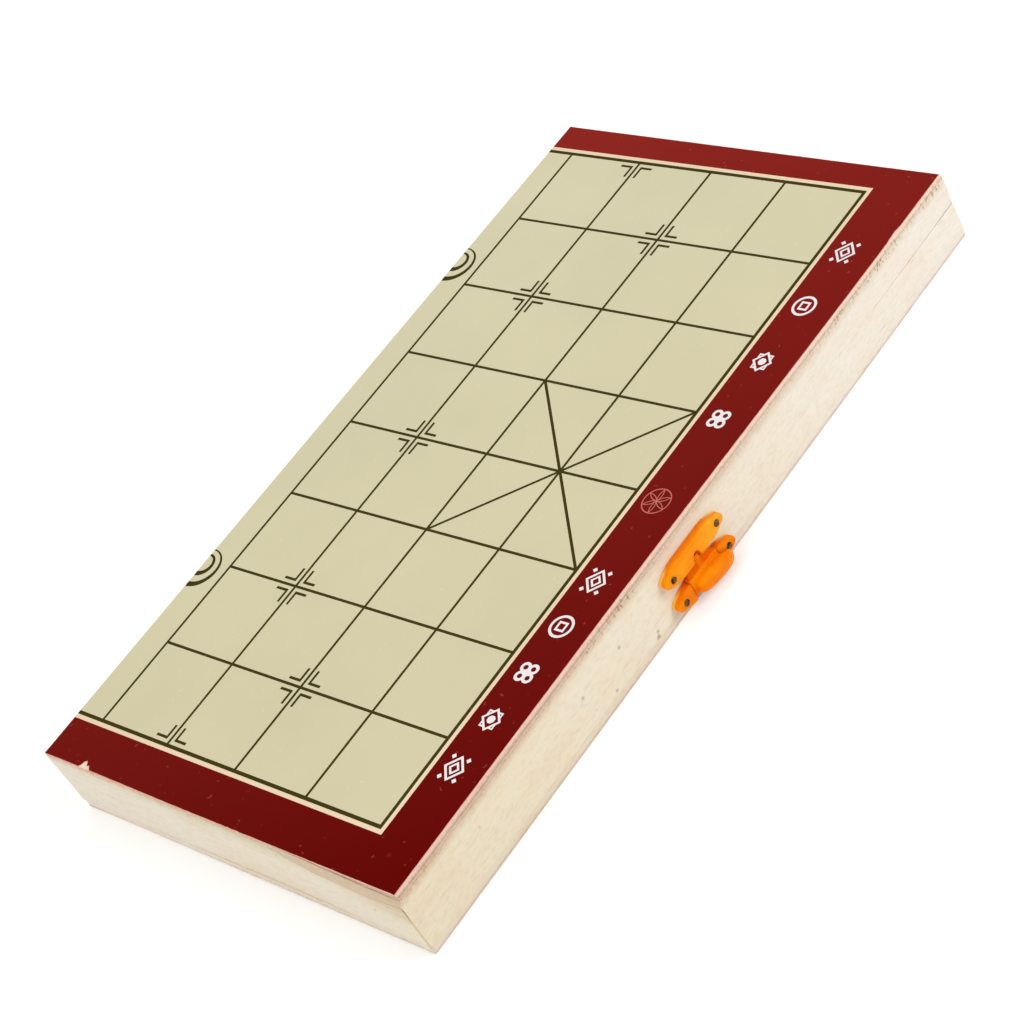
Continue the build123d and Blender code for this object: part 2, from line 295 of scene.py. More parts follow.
def corner_line_and_shade(colour, broad):
    """Return the colour with a fine dark line down the near mitre, and painted shade round it of a given
    strength.
    """
    away = distance_to(colour.id_data, (-HALF_LENGTH, FACE, 0.0), (1, 1, 0))
    high = ramp(axis(colour.id_data, "Z"), 0.0115, 0.0165, 0.0, broad)
    # Painted shade beside the near left corner, darker upwards.
    corner_shade = combined("MULTIPLY", ramp(away, 0.008, 0.028, 1.0, 0.0), high)
    colour = tinted(corner_shade, colour, (0.90, 0.83, 0.76))
    return tinted(ramp(away, 0.0001, 0.0006, 0.8, 0.0), colour, (0.74, 0.63, 0.50))


def shaded_and_marked(colour, clouds, shade_band, ink_smear_and_shade):
    """Return the wood's colour with its painted shade band, rubbed ink, the corner's dark line and painted
    shade, and saw marks.
    """
    tree = colour.id_data
    tint, low, high, fade = shade_band
    # Painted shade: a patchy band between two heights above the rim, fading across the box.
    place = ramp(above_rim(tree), low * MM, high * MM)
    patchy = ramp(clouds, 0.3, 0.7, 0.65, 1.0)
    colour = tinted(combined("MULTIPLY", place, patchy, ramp(across(tree), *fade)), colour, tint)
    rubbed = combined("MULTIPLY", ramp(above_rim(tree), 0.0095, 0.0122, 0.0, ink_smear_and_shade), dusty(tree))
    colour = tinted(rubbed, colour, (0.98, 0.57, 0.51))
    return tinted(saw_marks(tree), corner_line_and_shade(colour, ink_smear_and_shade), SAW_TINT)


def wood_material(name, along, tint, grain=0.35, pores=0.35, rough=0.75, far=None, shade_band=None, ink_smear_and_shade=0.0,
                  knots=()):
    """Pale wood with fine grain along one axis: mottled, lightly scratched, with a few pores and knots.

    far is the tint at the box's far right corner, lighter there as painted light. The shade band tuple is
    (tint, low, high, fade): painted shade that comes in between two heights above the rim, in millimetres,
    and fades to a share of itself across the box.
    The ink and shade strength sets a rosy rub of ink along the top, and the painted shade by the near left
    corner. knots are places (x, z) on the front.
    """
    material, tree, shader = new_material(name, Roughness=rough, Specular_IOR_Level=0.15)
    stretch = [0.05 if letter == along else 1.0 for letter in "XYZ"]
    clouds = noise_field(tree, 70, 4.0, 0.6)
    bands = noise_field(tree, 330, 2.0, stretch=stretch)
    mottle = noise_field(tree, 1000, 2.0, 0.6, [value * 0.6 + 0.4 for value in stretch])
    dashes = noise_field(tree, 900, 1.0, stretch=[value * 3 + 0.04 for value in stretch])
    specks = noise_field(tree, 420, 0.5)
    # Painted light: the colour grows lighter towards the box's far right corner.
    colour = mix(ramp(across(tree), -0.2, 0.06), tint, far or tint)
    for field, low, high, strength, shade in (
            (clouds, 0.42, 0.66, 0.8, (1.0, 0.955, 0.92)), (bands, 0.45, 0.72, grain, (0.93, 0.88, 0.82)),
            (mottle, 0.46, 0.68, 0.7, (0.93, 0.90, 0.86)), (dashes, 0.68, 0.76, pores, (0.66, 0.56, 0.46)),
            (specks, 0.78, 0.82, pores, (0.5, 0.4, 0.3))):
        colour = tinted(ramp(field, low, high, 0.0, strength), colour, shade)
    if shade_band:
        colour = shaded_and_marked(colour, clouds, shade_band, ink_smear_and_shade)
    colour = spots(colour, [(x, FACE, z) for x, z in knots], 0.7, (0.36, 0.24, 0.11))
    fibres = noise_field(tree, 1500, 4.0, 0.65, stretch)
    set_inputs(shader, Base_Color=colour, Normal=bump(fibres, 0.05, 0.5))
    return material


def colour_bands(value, stops):
    """Return a colour that runs through (place, colour) stops as the value goes from 0 to 1."""
    made = add_node(value.id_data, "ValToRGB", Fac=value)
    while len(made.color_ramp.elements) < len(stops):
        made.color_ramp.elements.new(0.5)
    for element, (place, colour) in zip(made.color_ramp.elements, stops):
        element.position, element.color = place, (*colour, 1.0)
    return made.outputs[0]


def board_edge_material():
    """Edge of the lid's board: a rosy face ply, a thin broken glue line, and a scratched core, with painted
    light that makes it lighter towards the far right corner.
    """
    material, tree, shader = new_material("board_edge", Roughness=0.8, Specular_IOR_Level=0.1)
    wander = ramp(noise_field(tree, 90, 4.0, 0.7), 0.3, 0.7, -0.00022, 0.00022)
    height = combined("ADD", above_rim(tree), wander)
    share = ramp(height, (panel_low.z - RIM) * MM, (PANEL_TOP - RIM) * MM)
    near, far = (colour_bands(share, [(stop[0], stop[end]) for stop in EDGE_COLOURS]) for end in (1, 2))
    # Painted light: lighter colours towards the far right corner.
    colour = mix(ramp(across(tree), -0.16, 0.04), near, far)
    fine = noise_field(tree, 1300, 3.0, 0.7)
    colour = tinted(ramp(fine, 0.45, 0.7, 0.0, 0.9), colour, (0.88, 0.84, 0.80))
    core = ramp(height, 0.0114, 0.0119, 0.8, 0.0)
    colour = tinted(combined("MULTIPLY", core, dusty(tree)), colour, (0.93, 0.84, 0.80))
    colour = tinted(saw_marks(tree), colour, SAW_TINT)
    set_inputs(shader, Base_Color=colour, Normal=bump(fine, 0.08, 0.6))
    return material


def ink_material(name, colour, fleck=(0.85, 0.6, 0.5), wear=0.25, far_lit_colour=None, smudges=()):
    """Matt ink on paper: faint unevenness, dust flecks, and painted light and sheen that make it lighter
    towards the far right corner.
    """
    material, tree, shader = new_material(name, Roughness=0.5, Specular_IOR_Level=0.015)
    # Painted light and sheen: lighter towards the far right corner, where a far colour is given.
    shade = mix(ramp(across(tree), -0.2, 0.2), colour, far_lit_colour or colour)
    shade = mix(ramp(noise_field(tree, 28, 4.0), 0.3, 0.7, 0.0, 0.05), shade, (0, 0, 0))
    shade = mix(ramp(noise_field(tree, 700, 0.0), 0.8, 0.86, 0.0, wear), shade, fleck)
    shade = spots(shade, [(x, y, PRINT_TOP) for x, y in smudges], 0.9, (0.21, 0.014, 0.009))
    sheen = ramp(noise_field(tree, 60), 0.3, 0.7, 0.36, 0.5)
    fibre = noise_field(tree, 2600, 2.0)
    set_inputs(shader, Base_Color=shade, Roughness=sheen, Normal=bump(fibre, 0.02, 0.25))
    return material


def plastic_material():
    """Soft orange moulded plastic, a little translucent: redder in the lower parts; painted shade reddens
    its walls near the wood, most in the recess between the plates; a painted highlight on the catch's right
    half and a painted yellow glow at the plates' ends by the wood.
    """
    material, tree, shader = new_material(
        "latch_plastic_orange", Roughness=0.3, Specular_IOR_Level=0.12, Specular_Tint=(1.0, 0.62, 0.12),
        Subsurface_Weight=0.6, Subsurface_Scale=0.001, Subsurface_Radius=(1.6, 0.5, 0.1))
    flow = noise_field(tree, 260, 2.0, stretch=(0.4, 1, 1))
    height, depth, middle = axis(tree, "Z"), axis(tree, "Y"), beside(tree, LATCH_X)
    upper = mix(ramp(flow, 0.3, 0.7), (0.86, 0.24, 0.001), (0.94, 0.35, 0.004))
    # Painted highlight: the catch grows yellower towards its right end, as light shines through the thin
    # plastic.
    painted_end_highlight = ramp(axis(tree, "X"), (LATCH_X + 1) * MM, (LATCH_X + 9) * MM, 0.0, 0.5)
    upper = mix(painted_end_highlight, upper, (0.95, 0.46, 0.03))
    lower = mix(ramp(flow, 0.35, 0.65), (0.86, 0.18, 0.0005), (0.90, 0.27, 0.002))
    front = mix(ramp(height, 0.0100, 0.0125), lower, upper)
    # Painted shade on the walls behind the front faces, deepest red in the recess between the plates.
    open_part = combined("MAXIMUM", ramp(height, 0.0135, 0.0160), ramp(middle, 0.007, 0.011))
    painted_wall_shade = mix(open_part, (0.76, 0.085, 0.0), (0.82, 0.185, 0.002))
    colour = mix(ramp(depth, (FACE - PLATE + 0.1) * MM, (FACE - 1.2) * MM), front, painted_wall_shade)
    # Painted glow: a yellow rim at the ends of the plates next to the wood.
    foot = ramp(depth, (FACE - 1.5) * MM, (FACE - 0.5) * MM)
    painted_rim_glow = combined("MULTIPLY", foot, ramp(middle, 0.0085, 0.0115))
    colour = mix(painted_rim_glow, colour, (0.94, 0.58, 0.12))
    scuff = ramp(noise_field(tree, 1400), 0.35, 0.75, 0.24, 0.42)
    set_inputs(shader, Base_Color=colour, Roughness=scuff, Normal=bump(flow, 0.06, 0.4))
    return material


def metal_material(name, bright, dull, rough, tarnish_scale=700):
    """Metal with patches of tarnish and small dents."""
    material, tree, shader = new_material(name, Roughness=rough, Metallic=1.0)
    tarnish = noise_field(tree, tarnish_scale, 4.0, 0.65)
    dents = noise_field(tree, 1800, 2.0)
    set_inputs(shader, Base_Color=mix(ramp(tarnish, 0.4, 0.62), bright, dull),
               Roughness=ramp(tarnish, 0.35, 0.7, rough, rough + 0.3), Normal=bump(dents, 0.03, 0.4))
    return material


# Lighter wood tint at the far right corner: painted light, as more light falls there.
FAR_LIT_WOOD = (0.885, 0.825, 0.735)
# Places of knots in the front (x, z) and of smudges on the lid's sheet (x, y)
KNOTS = ((-27.3, 5.2), (-27.8, 4.2), (-27.7, 3.4), (-28.3, 3.6), (-40.3, 13.6), (-47.8, 4.4),
         (-57.9, 13.2), (48.4, 21.8), (101.8, 22.0))
SMUDGES = ((-124.2, -63.5), (-129.9, 65.5), (-130.4, 61.2))
# The band tint passed below is painted shade along the top of the front and rear rails, under the lid
# board's edge.
wood_x = wood_material("poplar_along_x", "X", (0.815, 0.72, 0.545), far=FAR_LIT_WOOD, knots=KNOTS,
                       shade_band=((0.84, 0.73, 0.66), 7.0, 9.5, (-0.12, 0.10, 1.0, 0.15)))
# The band tint passed below is painted shade high on the side rails, under the lid board's edge, strongest
# at the near left.
wood_y = wood_material("poplar_along_y", "Y", (0.80, 0.735, 0.60), far=(0.84, 0.785, 0.67), ink_smear_and_shade=1.0,
                       shade_band=((0.80, 0.77, 0.66), 4.0, 10.5, (-0.155, -0.075, 1.0, 0.25)))
# Painted shade: the worn arris at the near left corner is coloured darker than the rest of the rail.
worn_arris_shade = wood_material("worn_arris_painted_shade", "Y", (0.66, 0.53, 0.385))
fresh_wood = wood_material("split_wood", "Z", (0.88, 0.80, 0.68))
board_face = wood_material("board_inner_face", "X", (0.84, 0.73, 0.58))
board_edge = board_edge_material()
# The band tint passed below is painted shade on the lower board's edge, darker towards the floor.
board_core = wood_material("board_core", "X", (0.80, 0.71, 0.56), grain=0.8, far=FAR_LIT_WOOD,
                           shade_band=((0.82, 0.79, 0.77), -11.2, -12.3, (-0.1, 0.1, 1.0, 1.0)))
seam_dirt = wood_material("seam_dirt", "Y", (0.46, 0.37, 0.27))
paper_edge = ink_material("paper_edge", (0.80, 0.42, 0.34), (0.95, 0.85, 0.75))
red_ink = ink_material("red_ink", (0.122, 0.0012, 0.0003), (0.45, 0.12, 0.09), far_lit_colour=(0.27, 0.018, 0.013),
                       smudges=SMUDGES)
strip_ink = ink_material("cream_ink", (0.81, 0.66, 0.45))
field_ink = ink_material("field_ink", (0.645, 0.59, 0.38), (0.9, 0.85, 0.6), 0.12,
                         far_lit_colour=(0.685, 0.635, 0.43))
line_ink = ink_material("line_ink", (0.052, 0.040, 0.007), (0.3, 0.26, 0.15))
white_ink = ink_material("white_ink", (0.84, 0.80, 0.80))
pink_ink = ink_material("pink_ink", (0.55, 0.16, 0.13))
plastic = plastic_material()
chess_wood = wood_material("chessman_birch", "X", (0.80, 0.62, 0.38), 1.0, 0.25, 0.45)
chess_red = ink_material("chessman_red_paint", (0.45, 0.02, 0.012))
chess_black = ink_material("chessman_black_paint", (0.012, 0.014, 0.012), (0.2, 0.2, 0.2))
nail_steel = metal_material("nail_steel", (0.22, 0.125, 0.055), (0.045, 0.018, 0.006), 0.34, 900)
hinge_steel = metal_material("hinge_steel", (0.75, 0.62, 0.36), (0.56, 0.44, 0.25), 0.3)


# -------- pieces and plain solids

OVERCUT = 3.0  # how far a cutting solid reaches past the surface that it cuts


def piece_mesh(name, bm, materials, smooth_angle=None):
    """Turn a bmesh in millimetres into a mesh in metres with its materials."""
    bmesh.ops.scale(bm, vec=(MM, MM, MM), verts=bm.verts)
    mesh = bpy.data.meshes.new(name)
    bm.to_mesh(mesh)
    bm.free()
    for material in materials:
        mesh.materials.append(material)
    if smooth_angle is not None:
        mesh.shade_smooth()
        mesh.set_sharp_from_angle(angle=math.radians(smooth_angle))
    return mesh


def linked(name, data):
    """Return a new object of the scene."""
    obj = bpy.data.objects.new(name, data)
    bpy.context.collection.objects.link(obj)
    return obj


def add_piece(name, mesh, body, node, place=Matrix()):
    """Add a mesh as a piece that rides on a body and stands for a CAD node."""
    obj = linked(name, mesh)
    obj.matrix_world = place
    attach(obj, body)
    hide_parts(node)


def of_kind(made, kind):
    """Return the vertices, edges or faces that a bmesh operation made."""
    return [item for item in made["geom"] if isinstance(item, kind)]


def skin(bm, rows):
    """Add faces between closed rows of vertices, and return them row by row."""
    return [[bm.faces.new((first[index - 1], first[index], second[index], second[index - 1]))
             for index in range(len(first))] for first, second in zip(rows, rows[1:])]


def prism(outline, y_0, y_1):
    """Return a solid between two depths on an outline of (x, z)."""
    bm = bmesh.new()
    face = bm.faces.new([bm.verts.new((x, y_0, z)) for x, z in outline])
    made = bmesh.ops.extrude_face_region(bm, geom=[face])
    bmesh.ops.translate(bm, vec=(0, y_1 - y_0, 0), verts=of_kind(made, BMVert))
    bmesh.ops.recalc_face_normals(bm, faces=bm.faces)
    return bm


def block(x_0, x_1, y_0, y_1, z_0, z_1):
    return prism([(x_0, z_0), (x_1, z_0), (x_1, z_1), (x_0, z_1)], y_0, y_1)


def rod(x_0, x_1, y, z, radius):
    """Return a round bar along X."""
    bm = bmesh.new()
    turn = Matrix.Translation(((x_0 + x_1) / 2, y, z)) @ Matrix.Rotation(math.pi / 2, 4, "Y")
    bmesh.ops.create_cone(bm, cap_ends=True, segments=40, radius1=radius, radius2=radius, depth=x_1 - x_0,
                          matrix=turn)
    return bm


def cut_tools(body, solids):
    """Take solids out of an object by modifiers, and return the objects that they use."""
    tools = [linked("tool", piece_mesh("tool", bm, [])) for bm in solids]
    for tool in tools:
        cut = body.modifiers.new("cut", "BOOLEAN")
        cut.operation, cut.object, cut.solver = "DIFFERENCE", tool, "EXACT"
    return tools


def applied(body, tools):
    """Return an object's mesh with its modifiers applied, and remove the object and its tools."""
    result = bpy.data.meshes.new_from_object(body.evaluated_get(bpy.context.evaluated_depsgraph_get()))
    for obj in [body] + tools:
        bpy.data.objects.remove(obj)
    return result


# -------- flat shapes


def disc(radius, x=0.0, y=0.0, count=32, start=0.0, squash=1.0):
    """Return a regular outline with a number of corners, the first at an angle."""
    angles = [start + 2 * math.pi * index / count for index in range(count)]
    return [(x + radius * math.cos(angle), y + radius * squash * math.sin(angle)) for angle in angles]


def lozenge(radius, x=0.0, y=0.0, squash=1.0):
    return disc(radius, x, y, 4, 0.0, squash)


def square(radius, squash=1.0):
    """Return a square's corners, at a radius from its middle."""
    return disc(radius, count=4, start=math.pi / 4, squash=squash)


def frame_of(shape, radius, thickness, **how):
    """Return a shape's outline as painted, and a smaller one as bare."""
    return [(True, shape(radius, **how)), (False, shape(radius - thickness, **how))]


def partition(shapes):
    """Cut overlapping outlines, lowest first, into flat faces that each have the topmost one's layer."""
    points, faces = [], []
    for _, outline in shapes:
        area = sum(a[0] * b[1] - b[0] * a[1] for a, b in zip(outline, outline[1:] + outline[:1]))
        ordered = outline if area > 0 else outline[::-1]
        faces.append(list(range(len(points), len(points) + len(outline))))
        points += [Vector(point) for point in ordered]
    points, _, faces, _, _, owners = delaunay_2d_cdt(points, [], faces, 4, 1e-4)
    return points, faces, [shapes[max(owner)][0] for owner in owners]


def add_flat_faces(bm, shapes, height, face_down=False):
    """Add shapes as flat faces at a height, and return the edges round them."""
    points, faces, layers = partition(shapes)
    verts = [bm.verts.new((point.x, point.y, height)) for point in points]
    for face, layer in zip(faces, layers):
        order = face[::-1] if face_down else face
        bm.faces.new([verts[index] for index in order]).material_index = layer
    return [edge for edge in bm.edges if edge.is_boundary]


def walk(outline, step):
    """Return points every step along a closed outline, each with its side's inward normal."""
    found = []
    for start, end in zip(outline, outline[1:] + outline[:1]):
        start, end = Vector(start), Vector(end)
        run = end - start
        inward = Vector((-run.y, run.x)).normalized()
        count = max(1, round(run.length / step))
        found += [(start + run * index / count, inward) for index in range(count)]
    return found


# -------- printed sheets

PRINT_INKS = [paper_edge, red_ink, strip_ink, field_ink, line_ink, white_ink, pink_ink]
PAPER, RED, CREAM, FIELD, LINE, WHITE, PINK = range(len(PRINT_INKS))
CLOUD_ARCS = (  # painted or bare, radius, how far it is moved to the right
    (True, 7.4, 0.0), (False, 6.2, 0.7), (True, 4.3, 1.2), (False, 3.0, 1.7),
)
ROSETTE_RADIUS = 4.2
ROSETTE_LINE = 0.26


def at(file, rank):
    """Return the place of a point of the board, in millimetres."""
    return FIRST_FILE + file * SQUARE_LENGTH, FIRST_RANK + rank * SQUARE_DEPTH


def rectangle(file_0, rank_0, file_1, rank_1):
    return [at(file_0, rank_0), at(file_1, rank_0), at(file_1, rank_1), at(file_0, rank_1)]


def out_of_true(x, y):
    """Return the place of a point of the lid board's outline."""
    right = (RIGHT_OUT + RIGHT_SKEW * y) * smooth_step(x / HALF_LENGTH)
    out = FRONT_SHIFT + (SWELLING - FRONT_SHIFT) * swelling(x)
    return x + right, y - out * front_share(y)


def cut_askew(low, high):
    """Return a sheet's or board's rectangle in plan, whose rear edge is cut a little askew."""
    return [(low.x, low.y), (high.x, low.y), (high.x, REAR_EDGE - FOLD_SKEW), (low.x, REAR_EDGE)]


def fold_at(file):
    """Return the rank of the sheet's rear edge."""
    share = (at(file, 0)[0] - print_low.x) / (print_high.x - print_low.x)
    return FOLD - FOLD_SKEW * share / SQUARE_DEPTH


def to_fold(file_0, rank_0, file_1):
    """Return the area between two files, from a rank to the sheet's rear edge."""
    return [at(file_0, rank_0), at(file_1, rank_0), at(file_1, fold_at(file_1)), at(file_0, fold_at(file_0))]


def stroke(start, end, width):
    """Return the outline of a straight stroke between two places on the board; all sizes in squares."""
    (x0, y0), (x1, y1) = at(*start), at(*end)
    run = Vector((x1 - x0, y1 - y0))
    side = Vector((-run.y, run.x)).normalized() * width * SQUARE_LENGTH / 2
    return [(x0 - side.x, y0 - side.y), (x1 - side.x, y1 - side.y), (x1 + side.x, y1 + side.y),
            (x0 + side.x, y0 + side.y)]


def grid_shapes():
    """Return the strip, the field, the frame lines, the grid and the palace."""
    right, out, inside = FILE_SPACES, FRAME_LINE_OUT, FRAME_LINE_IN
    shapes = [(CREAM, to_fold(-STRIP, -STRIP, right + STRIP)), (LINE, to_fold(-out, -out, right + out)),
              (FIELD, to_fold(inside, inside, right - inside))]
    half = GRID_LINE / 2
    for file in range(1, right):
        shapes.append((LINE, rectangle(file - half, 0, file + half, RANK_SPACES)))
    for rank in range(1, RANK_SPACES + 1):
        shapes.append((LINE, rectangle(0, rank - half, right, rank + half)))
    for start, end in (((3, 0), (5, 2)), ((5, 0), (3, 2))):
        shapes.append((LINE, stroke(start, end, GRID_LINE)))
    return shapes


def mark_shapes():
    """Return the corner marks of the cannons' and soldiers' places."""
    near, thick, far = MARK_OFFSET, MARK_OFFSET + MARK_LINE, MARK_OFFSET + MARK_ARM
    shapes = []
    for file, rank in [(1, 2), (7, 2)] + [(file, 3) for file in range(0, FILE_SPACES + 1, 2)]:
        for x in [way for way in (-1, 1) if 0 <= file + way * MARK_ARM <= FILE_SPACES]:
            for y in (-1, 1):
                for long_x, long_y in ((far, thick), (thick, far)):
                    shapes.append((LINE, rectangle(file + x * near, rank + y * near,
                                                   file + x * long_x, rank + y * long_y)))
    return shapes


def torn(point):
    """Return how far the sheet's edge is worn back at a point."""
    wear = 0.04 + 0.04 * ripple(*point, 3.0, 0.5)
    if point.y > print_low.y + 1:
        return wear
    bite = math.exp(-(((point.x - BITE_AT) / BITE_HALF) ** 4))
    return wear + bite * (BITE_DEPTH + 0.3 * ripple(point.x, 8.75, 0.0, 0.8))


def sheet_outline(body):
    """Return the sheet's slightly worn outline, with the chip in its left edge."""
    chip = [(print_low.x + depth, CHIP_AT + along) for depth, along in CHIP]
    around = walk(cut_askew(print_low, print_high) + chip, 1.2)
    points = [point + inward * torn(point) for point, inward in around]
    if body == "base":
        return [tuple(point) for point in points]
    for point in points:
        left = smooth_step((print_low.x + 4 - point.x) / 4)
        point.x -= LEFT_BOW * smooth_step((LEFT_BOW_FROM - point.y) / LEFT_BOW_RUN) * left
    return [out_of_true(*point) for point in points]


def ink_outline(body):
    """Return the edge of the red ink, which has flaked a little from the cut edge of the sheet."""
    points = []
    for x, y in sheet_outline(body):
        back = 0.1 + 0.07 * ripple(x, y, 11.0, 0.9)
        fold = max(0.0, min(1.0, (REAR_EDGE - y - 2) / 4))
        toward = (Vector((x * 0.985, y * 0.97)) - Vector((x, y))).normalized()
        points.append(tuple(Vector((x, y)) + toward * back * (0.35 + 0.65 * fold)))
    return points


def flat_sheet(name, shapes, materials, top, bottom):
    """Return the mesh of a thin sheet whose printed face is at top. It may face up or down."""
    bm = bmesh.new()
    skirt = bmesh.ops.extrude_edge_only(bm, edges=add_flat_faces(bm, shapes, top, top < bottom))
    for vert in of_kind(skirt, BMVert):
        vert.co.z = bottom
    for face in of_kind(skirt, BMFace):
        face.material_index = PAPER
    return piece_mesh(name, bm, materials)


def placed(motif, centre, paint, ground):
    """Return a motif, drawn in millimetres, as inked outlines round a place of the board."""
    x, y = at(*centre)
    return [(paint if painted else ground, [(x + a, y + b) for a, b in points]) for painted, points in motif]


def lozenge_motif():
    dots = [(True, lozenge(0.85, x, y)) for x in (-3.4, 3.4) for y in (-2.7, 2.7)]
    return frame_of(lozenge, 4.3, 1.1, squash=0.86) + frame_of(lozenge, 2.2, 0.95, squash=0.86) + dots


def quatrefoil_motif():
    petals = []
    for x, y in square(2.15, 2.0 / 2.15):
        petals += [(True, disc(1.75, x, y, 20)), (False, disc(0.8, x, y, 16))]
    return petals + [(True, lozenge(0.95))]


def coin_motif():
    return frame_of(disc, 3.9, 0.85) + frame_of(square, 2.35, 1.0)


def star_motif():
    return (frame_of(square, 4.0, 0.75, squash=0.9) + frame_of(lozenge, 3.9, 1.0, squash=0.9)
            + [(True, disc(1.35, count=8, start=math.pi / 8))])


def rosette_motif():
    """Return a ring, and the strokes of a six-petalled flower drawn in it with a compass."""
    shapes = frame_of(disc, 4.6, 0.35, count=48)
    for petal in range(6):
        angle = math.pi / 3 * petal
        centre = Vector((math.cos(angle), math.sin(angle))) * ROSETTE_RADIUS
        reach = [angle + math.pi * (2 / 3 + share * 2 / 3 / 8) for share in range(9)]
        inside, outside = (
            [tuple(centre + (ROSETTE_RADIUS + side) * Vector((math.cos(a), math.sin(a)))) for a in reach]
            for side in (-ROSETTE_LINE / 2, ROSETTE_LINE / 2))
        shapes.append((True, inside + outside[::-1]))
    return shapes


def border_shapes():
    """Return a row of traditional white ornaments and a thin rosette in a ring, along the front border."""
    shapes = []
    for motif, files in ((lozenge_motif, LOZENGE_FILES), (star_motif, STAR_FILES),
                         (quatrefoil_motif, QUATREFOIL_FILES), (coin_motif, COIN_FILES)):
        for file in files:
            shapes += placed(motif(), (file, BORDER_MIDDLE), WHITE, RED)
    return shapes + placed(rosette_motif(), (RING_FILE, BORDER_MIDDLE), PINK, RED)


def cloud_shapes():
    """Return the river's two cloud roundels, which the fold cuts in half."""
    shapes = []
    for file in CLOUD_FILES:
        arcs = []
        for painted, radius, shift in CLOUD_ARCS:
            angles = [math.pi * step / 24 for step in range(25)]
            arcs.append((painted, [(shift - radius * math.cos(a), -radius * math.sin(a)) for a in angles]))
        shapes += placed(arcs, (file, fold_at(file)), LINE, FIELD)
    return shapes


def mirrored(z):
    """Return the height in the lower tray that a height in the lid is the mirror image of."""
    return 2 * RIM - z


def add_prints():
    for body, top, bottom in (("lid", PRINT_TOP, PANEL_TOP), ("base", 0.0, mirrored(PANEL_TOP))):
        edges = [(PAPER, sheet_outline(body)), (RED, ink_outline(body))]
        shapes = edges + grid_shapes() + mark_shapes() + border_shapes() + cloud_shapes()
        mesh = flat_sheet(f"{body}_printed_sheet", shapes, PRINT_INKS, top, bottom)
        add_piece(f"{body}_printed_sheet", mesh, body, f"{body}_print")


# -------- trays' boards

LEFT_SKEW = 1.05  # the left rails run inwards by this, away from the latch side
SKEW_SHARE = 0.45  # of the rail's length
FLUSH = 0.02  # share of the rail's width that the lower board stands back
TOP_PLY = 1.75  # thickness of the board's face ply
FRONT_FLUSH = 0.1  # how far the core stands out, level with the front rail
CORE_ROUGHNESS = 0.1
CORNER_FLUSH = 0.7  # how far the lid board's right edge slopes out to the frame near the front
CORNER_FROM = -45.0  # Y where that starts
CORNER_RUN = 28.0


def plan_corners(x, y, skew=0.0):
    """Return a rectangle's corners in plan from the front left one on, the rear left one moved in."""
    return [Vector(corner) for corner in ((-x, -y), (x, -y), (x, y), (skew - x, y))]


OUTER = plan_corners(HALF_LENGTH, HALF_DEPTH, LEFT_SKEW)
INNER = plan_corners(HALF_LENGTH - RAIL_WIDTH, HALF_DEPTH - RAIL_WIDTH)


def panel_outline(body):
    """Return a board's outline. The lower one is sanded flush with its frame."""
    if body == "lid":
        return cut_askew(panel_low, panel_high)
    return [tuple(outer.lerp(inner, FLUSH)) for outer, inner in zip(OUTER, INNER)]


def core_wear(x, y, z):
    """Return how far the sawn edge of the core is broken back at a point."""
    coarse, fine = ripple(x, y, z * 1.3, 0.35), ripple(x, y, z * 2.9 + 5, 1.7)
    return CORE_ROUGHNESS * (1.0 + 0.9 * coarse + 1.1 * fine)


def panel_profile(body):
    """Return rows of (depth below the outer face, inset, roughness, how flush) round the board's edge."""
    thick = panel_high.z - panel_low.z
    if body == "base":
        return [(0.0, 0.2, 0.0, 0), (0.15, 0.03, 0.5, 0), (1.0, 0.0, 1.0, 0), (2.0, 0.0, 1.0, 0),
                (thick - 0.1, 0.0, 1.0, 0), (thick, 0.08, 0.0, 0)]
    rows = [(0.0, 0.1, 0.0, 0), (0.08, 0.0, 0.6, 0), (0.6, 0.0, 1.0, 0), (1.2, 0.0, 1.0, 0),
            (TOP_PLY - 0.08, 0.0, 1.0, 0), (TOP_PLY, 0.1, 1.5, 0), (TOP_PLY + 0.12, 0.08, 2.0, 0.5)]
    core = [(thick - up, 0.0, 1.2, 1.0) for up in (0.85, 0.6, 0.3, 0.08)]
    return rows + core + [(thick, 0.06, 1.0, 1.0)]


def slope_out(point, depth):
    """Return how far the lid board's right edge slopes out near the front corner, down to its core."""
    if point.x < panel_high.x - 0.1:
        return 0.0
    return CORNER_FLUSH * min(depth / TOP_PLY, 1.0) * smooth_step((CORNER_FROM - point.y) / CORNER_RUN)


def panel_mesh(body, outer, inner):
    """Return a board with its edge, from its outer face to the one inside the tray."""
    bm = bmesh.new()
    way = -1 if outer > inner else 1
    around = walk(panel_outline(body), 1.1)
    rows = []
    for depth, inset, rough, flush in panel_profile(body):
        row = []
        for index, (point, inward) in enumerate(around):
            before = around[index - 1][1]
            push = inward if (inward - before).length < 0.1 else inward + before
            back = inset + rough * core_wear(point.x, point.y, depth)
            if inward.y > 0.9:
                back -= FRONT_FLUSH * flush * (1 - swelling(point.x))
            x, y = point + push * back
            if body == "lid":
                x, y = out_of_true(x, y)
                x += slope_out(point, depth)
            row.append(bm.verts.new((x, y, outer + way * depth)))
        rows.append(row)
    for face in sum(skin(bm, rows), []):
        face.material_index, face.smooth = 1, True
    for cap in (bm.faces.new(rows[0]), bm.faces.new(rows[-1])):
        for edge in cap.edges:
            edge.smooth = False
    bmesh.ops.recalc_face_normals(bm, faces=bm.faces)
    return piece_mesh(f"{body}_board", bm, [board_face, board_edge if body == "lid" else board_core])


def add_panels():
    for body, outer, inner in (("lid", PANEL_TOP, panel_low.z),
                               ("base", mirrored(PANEL_TOP), mirrored(panel_low.z))):
        add_piece(f"{body}_board", panel_mesh(body, outer, inner), body, f"{body}_panel")


# -------- frame rails

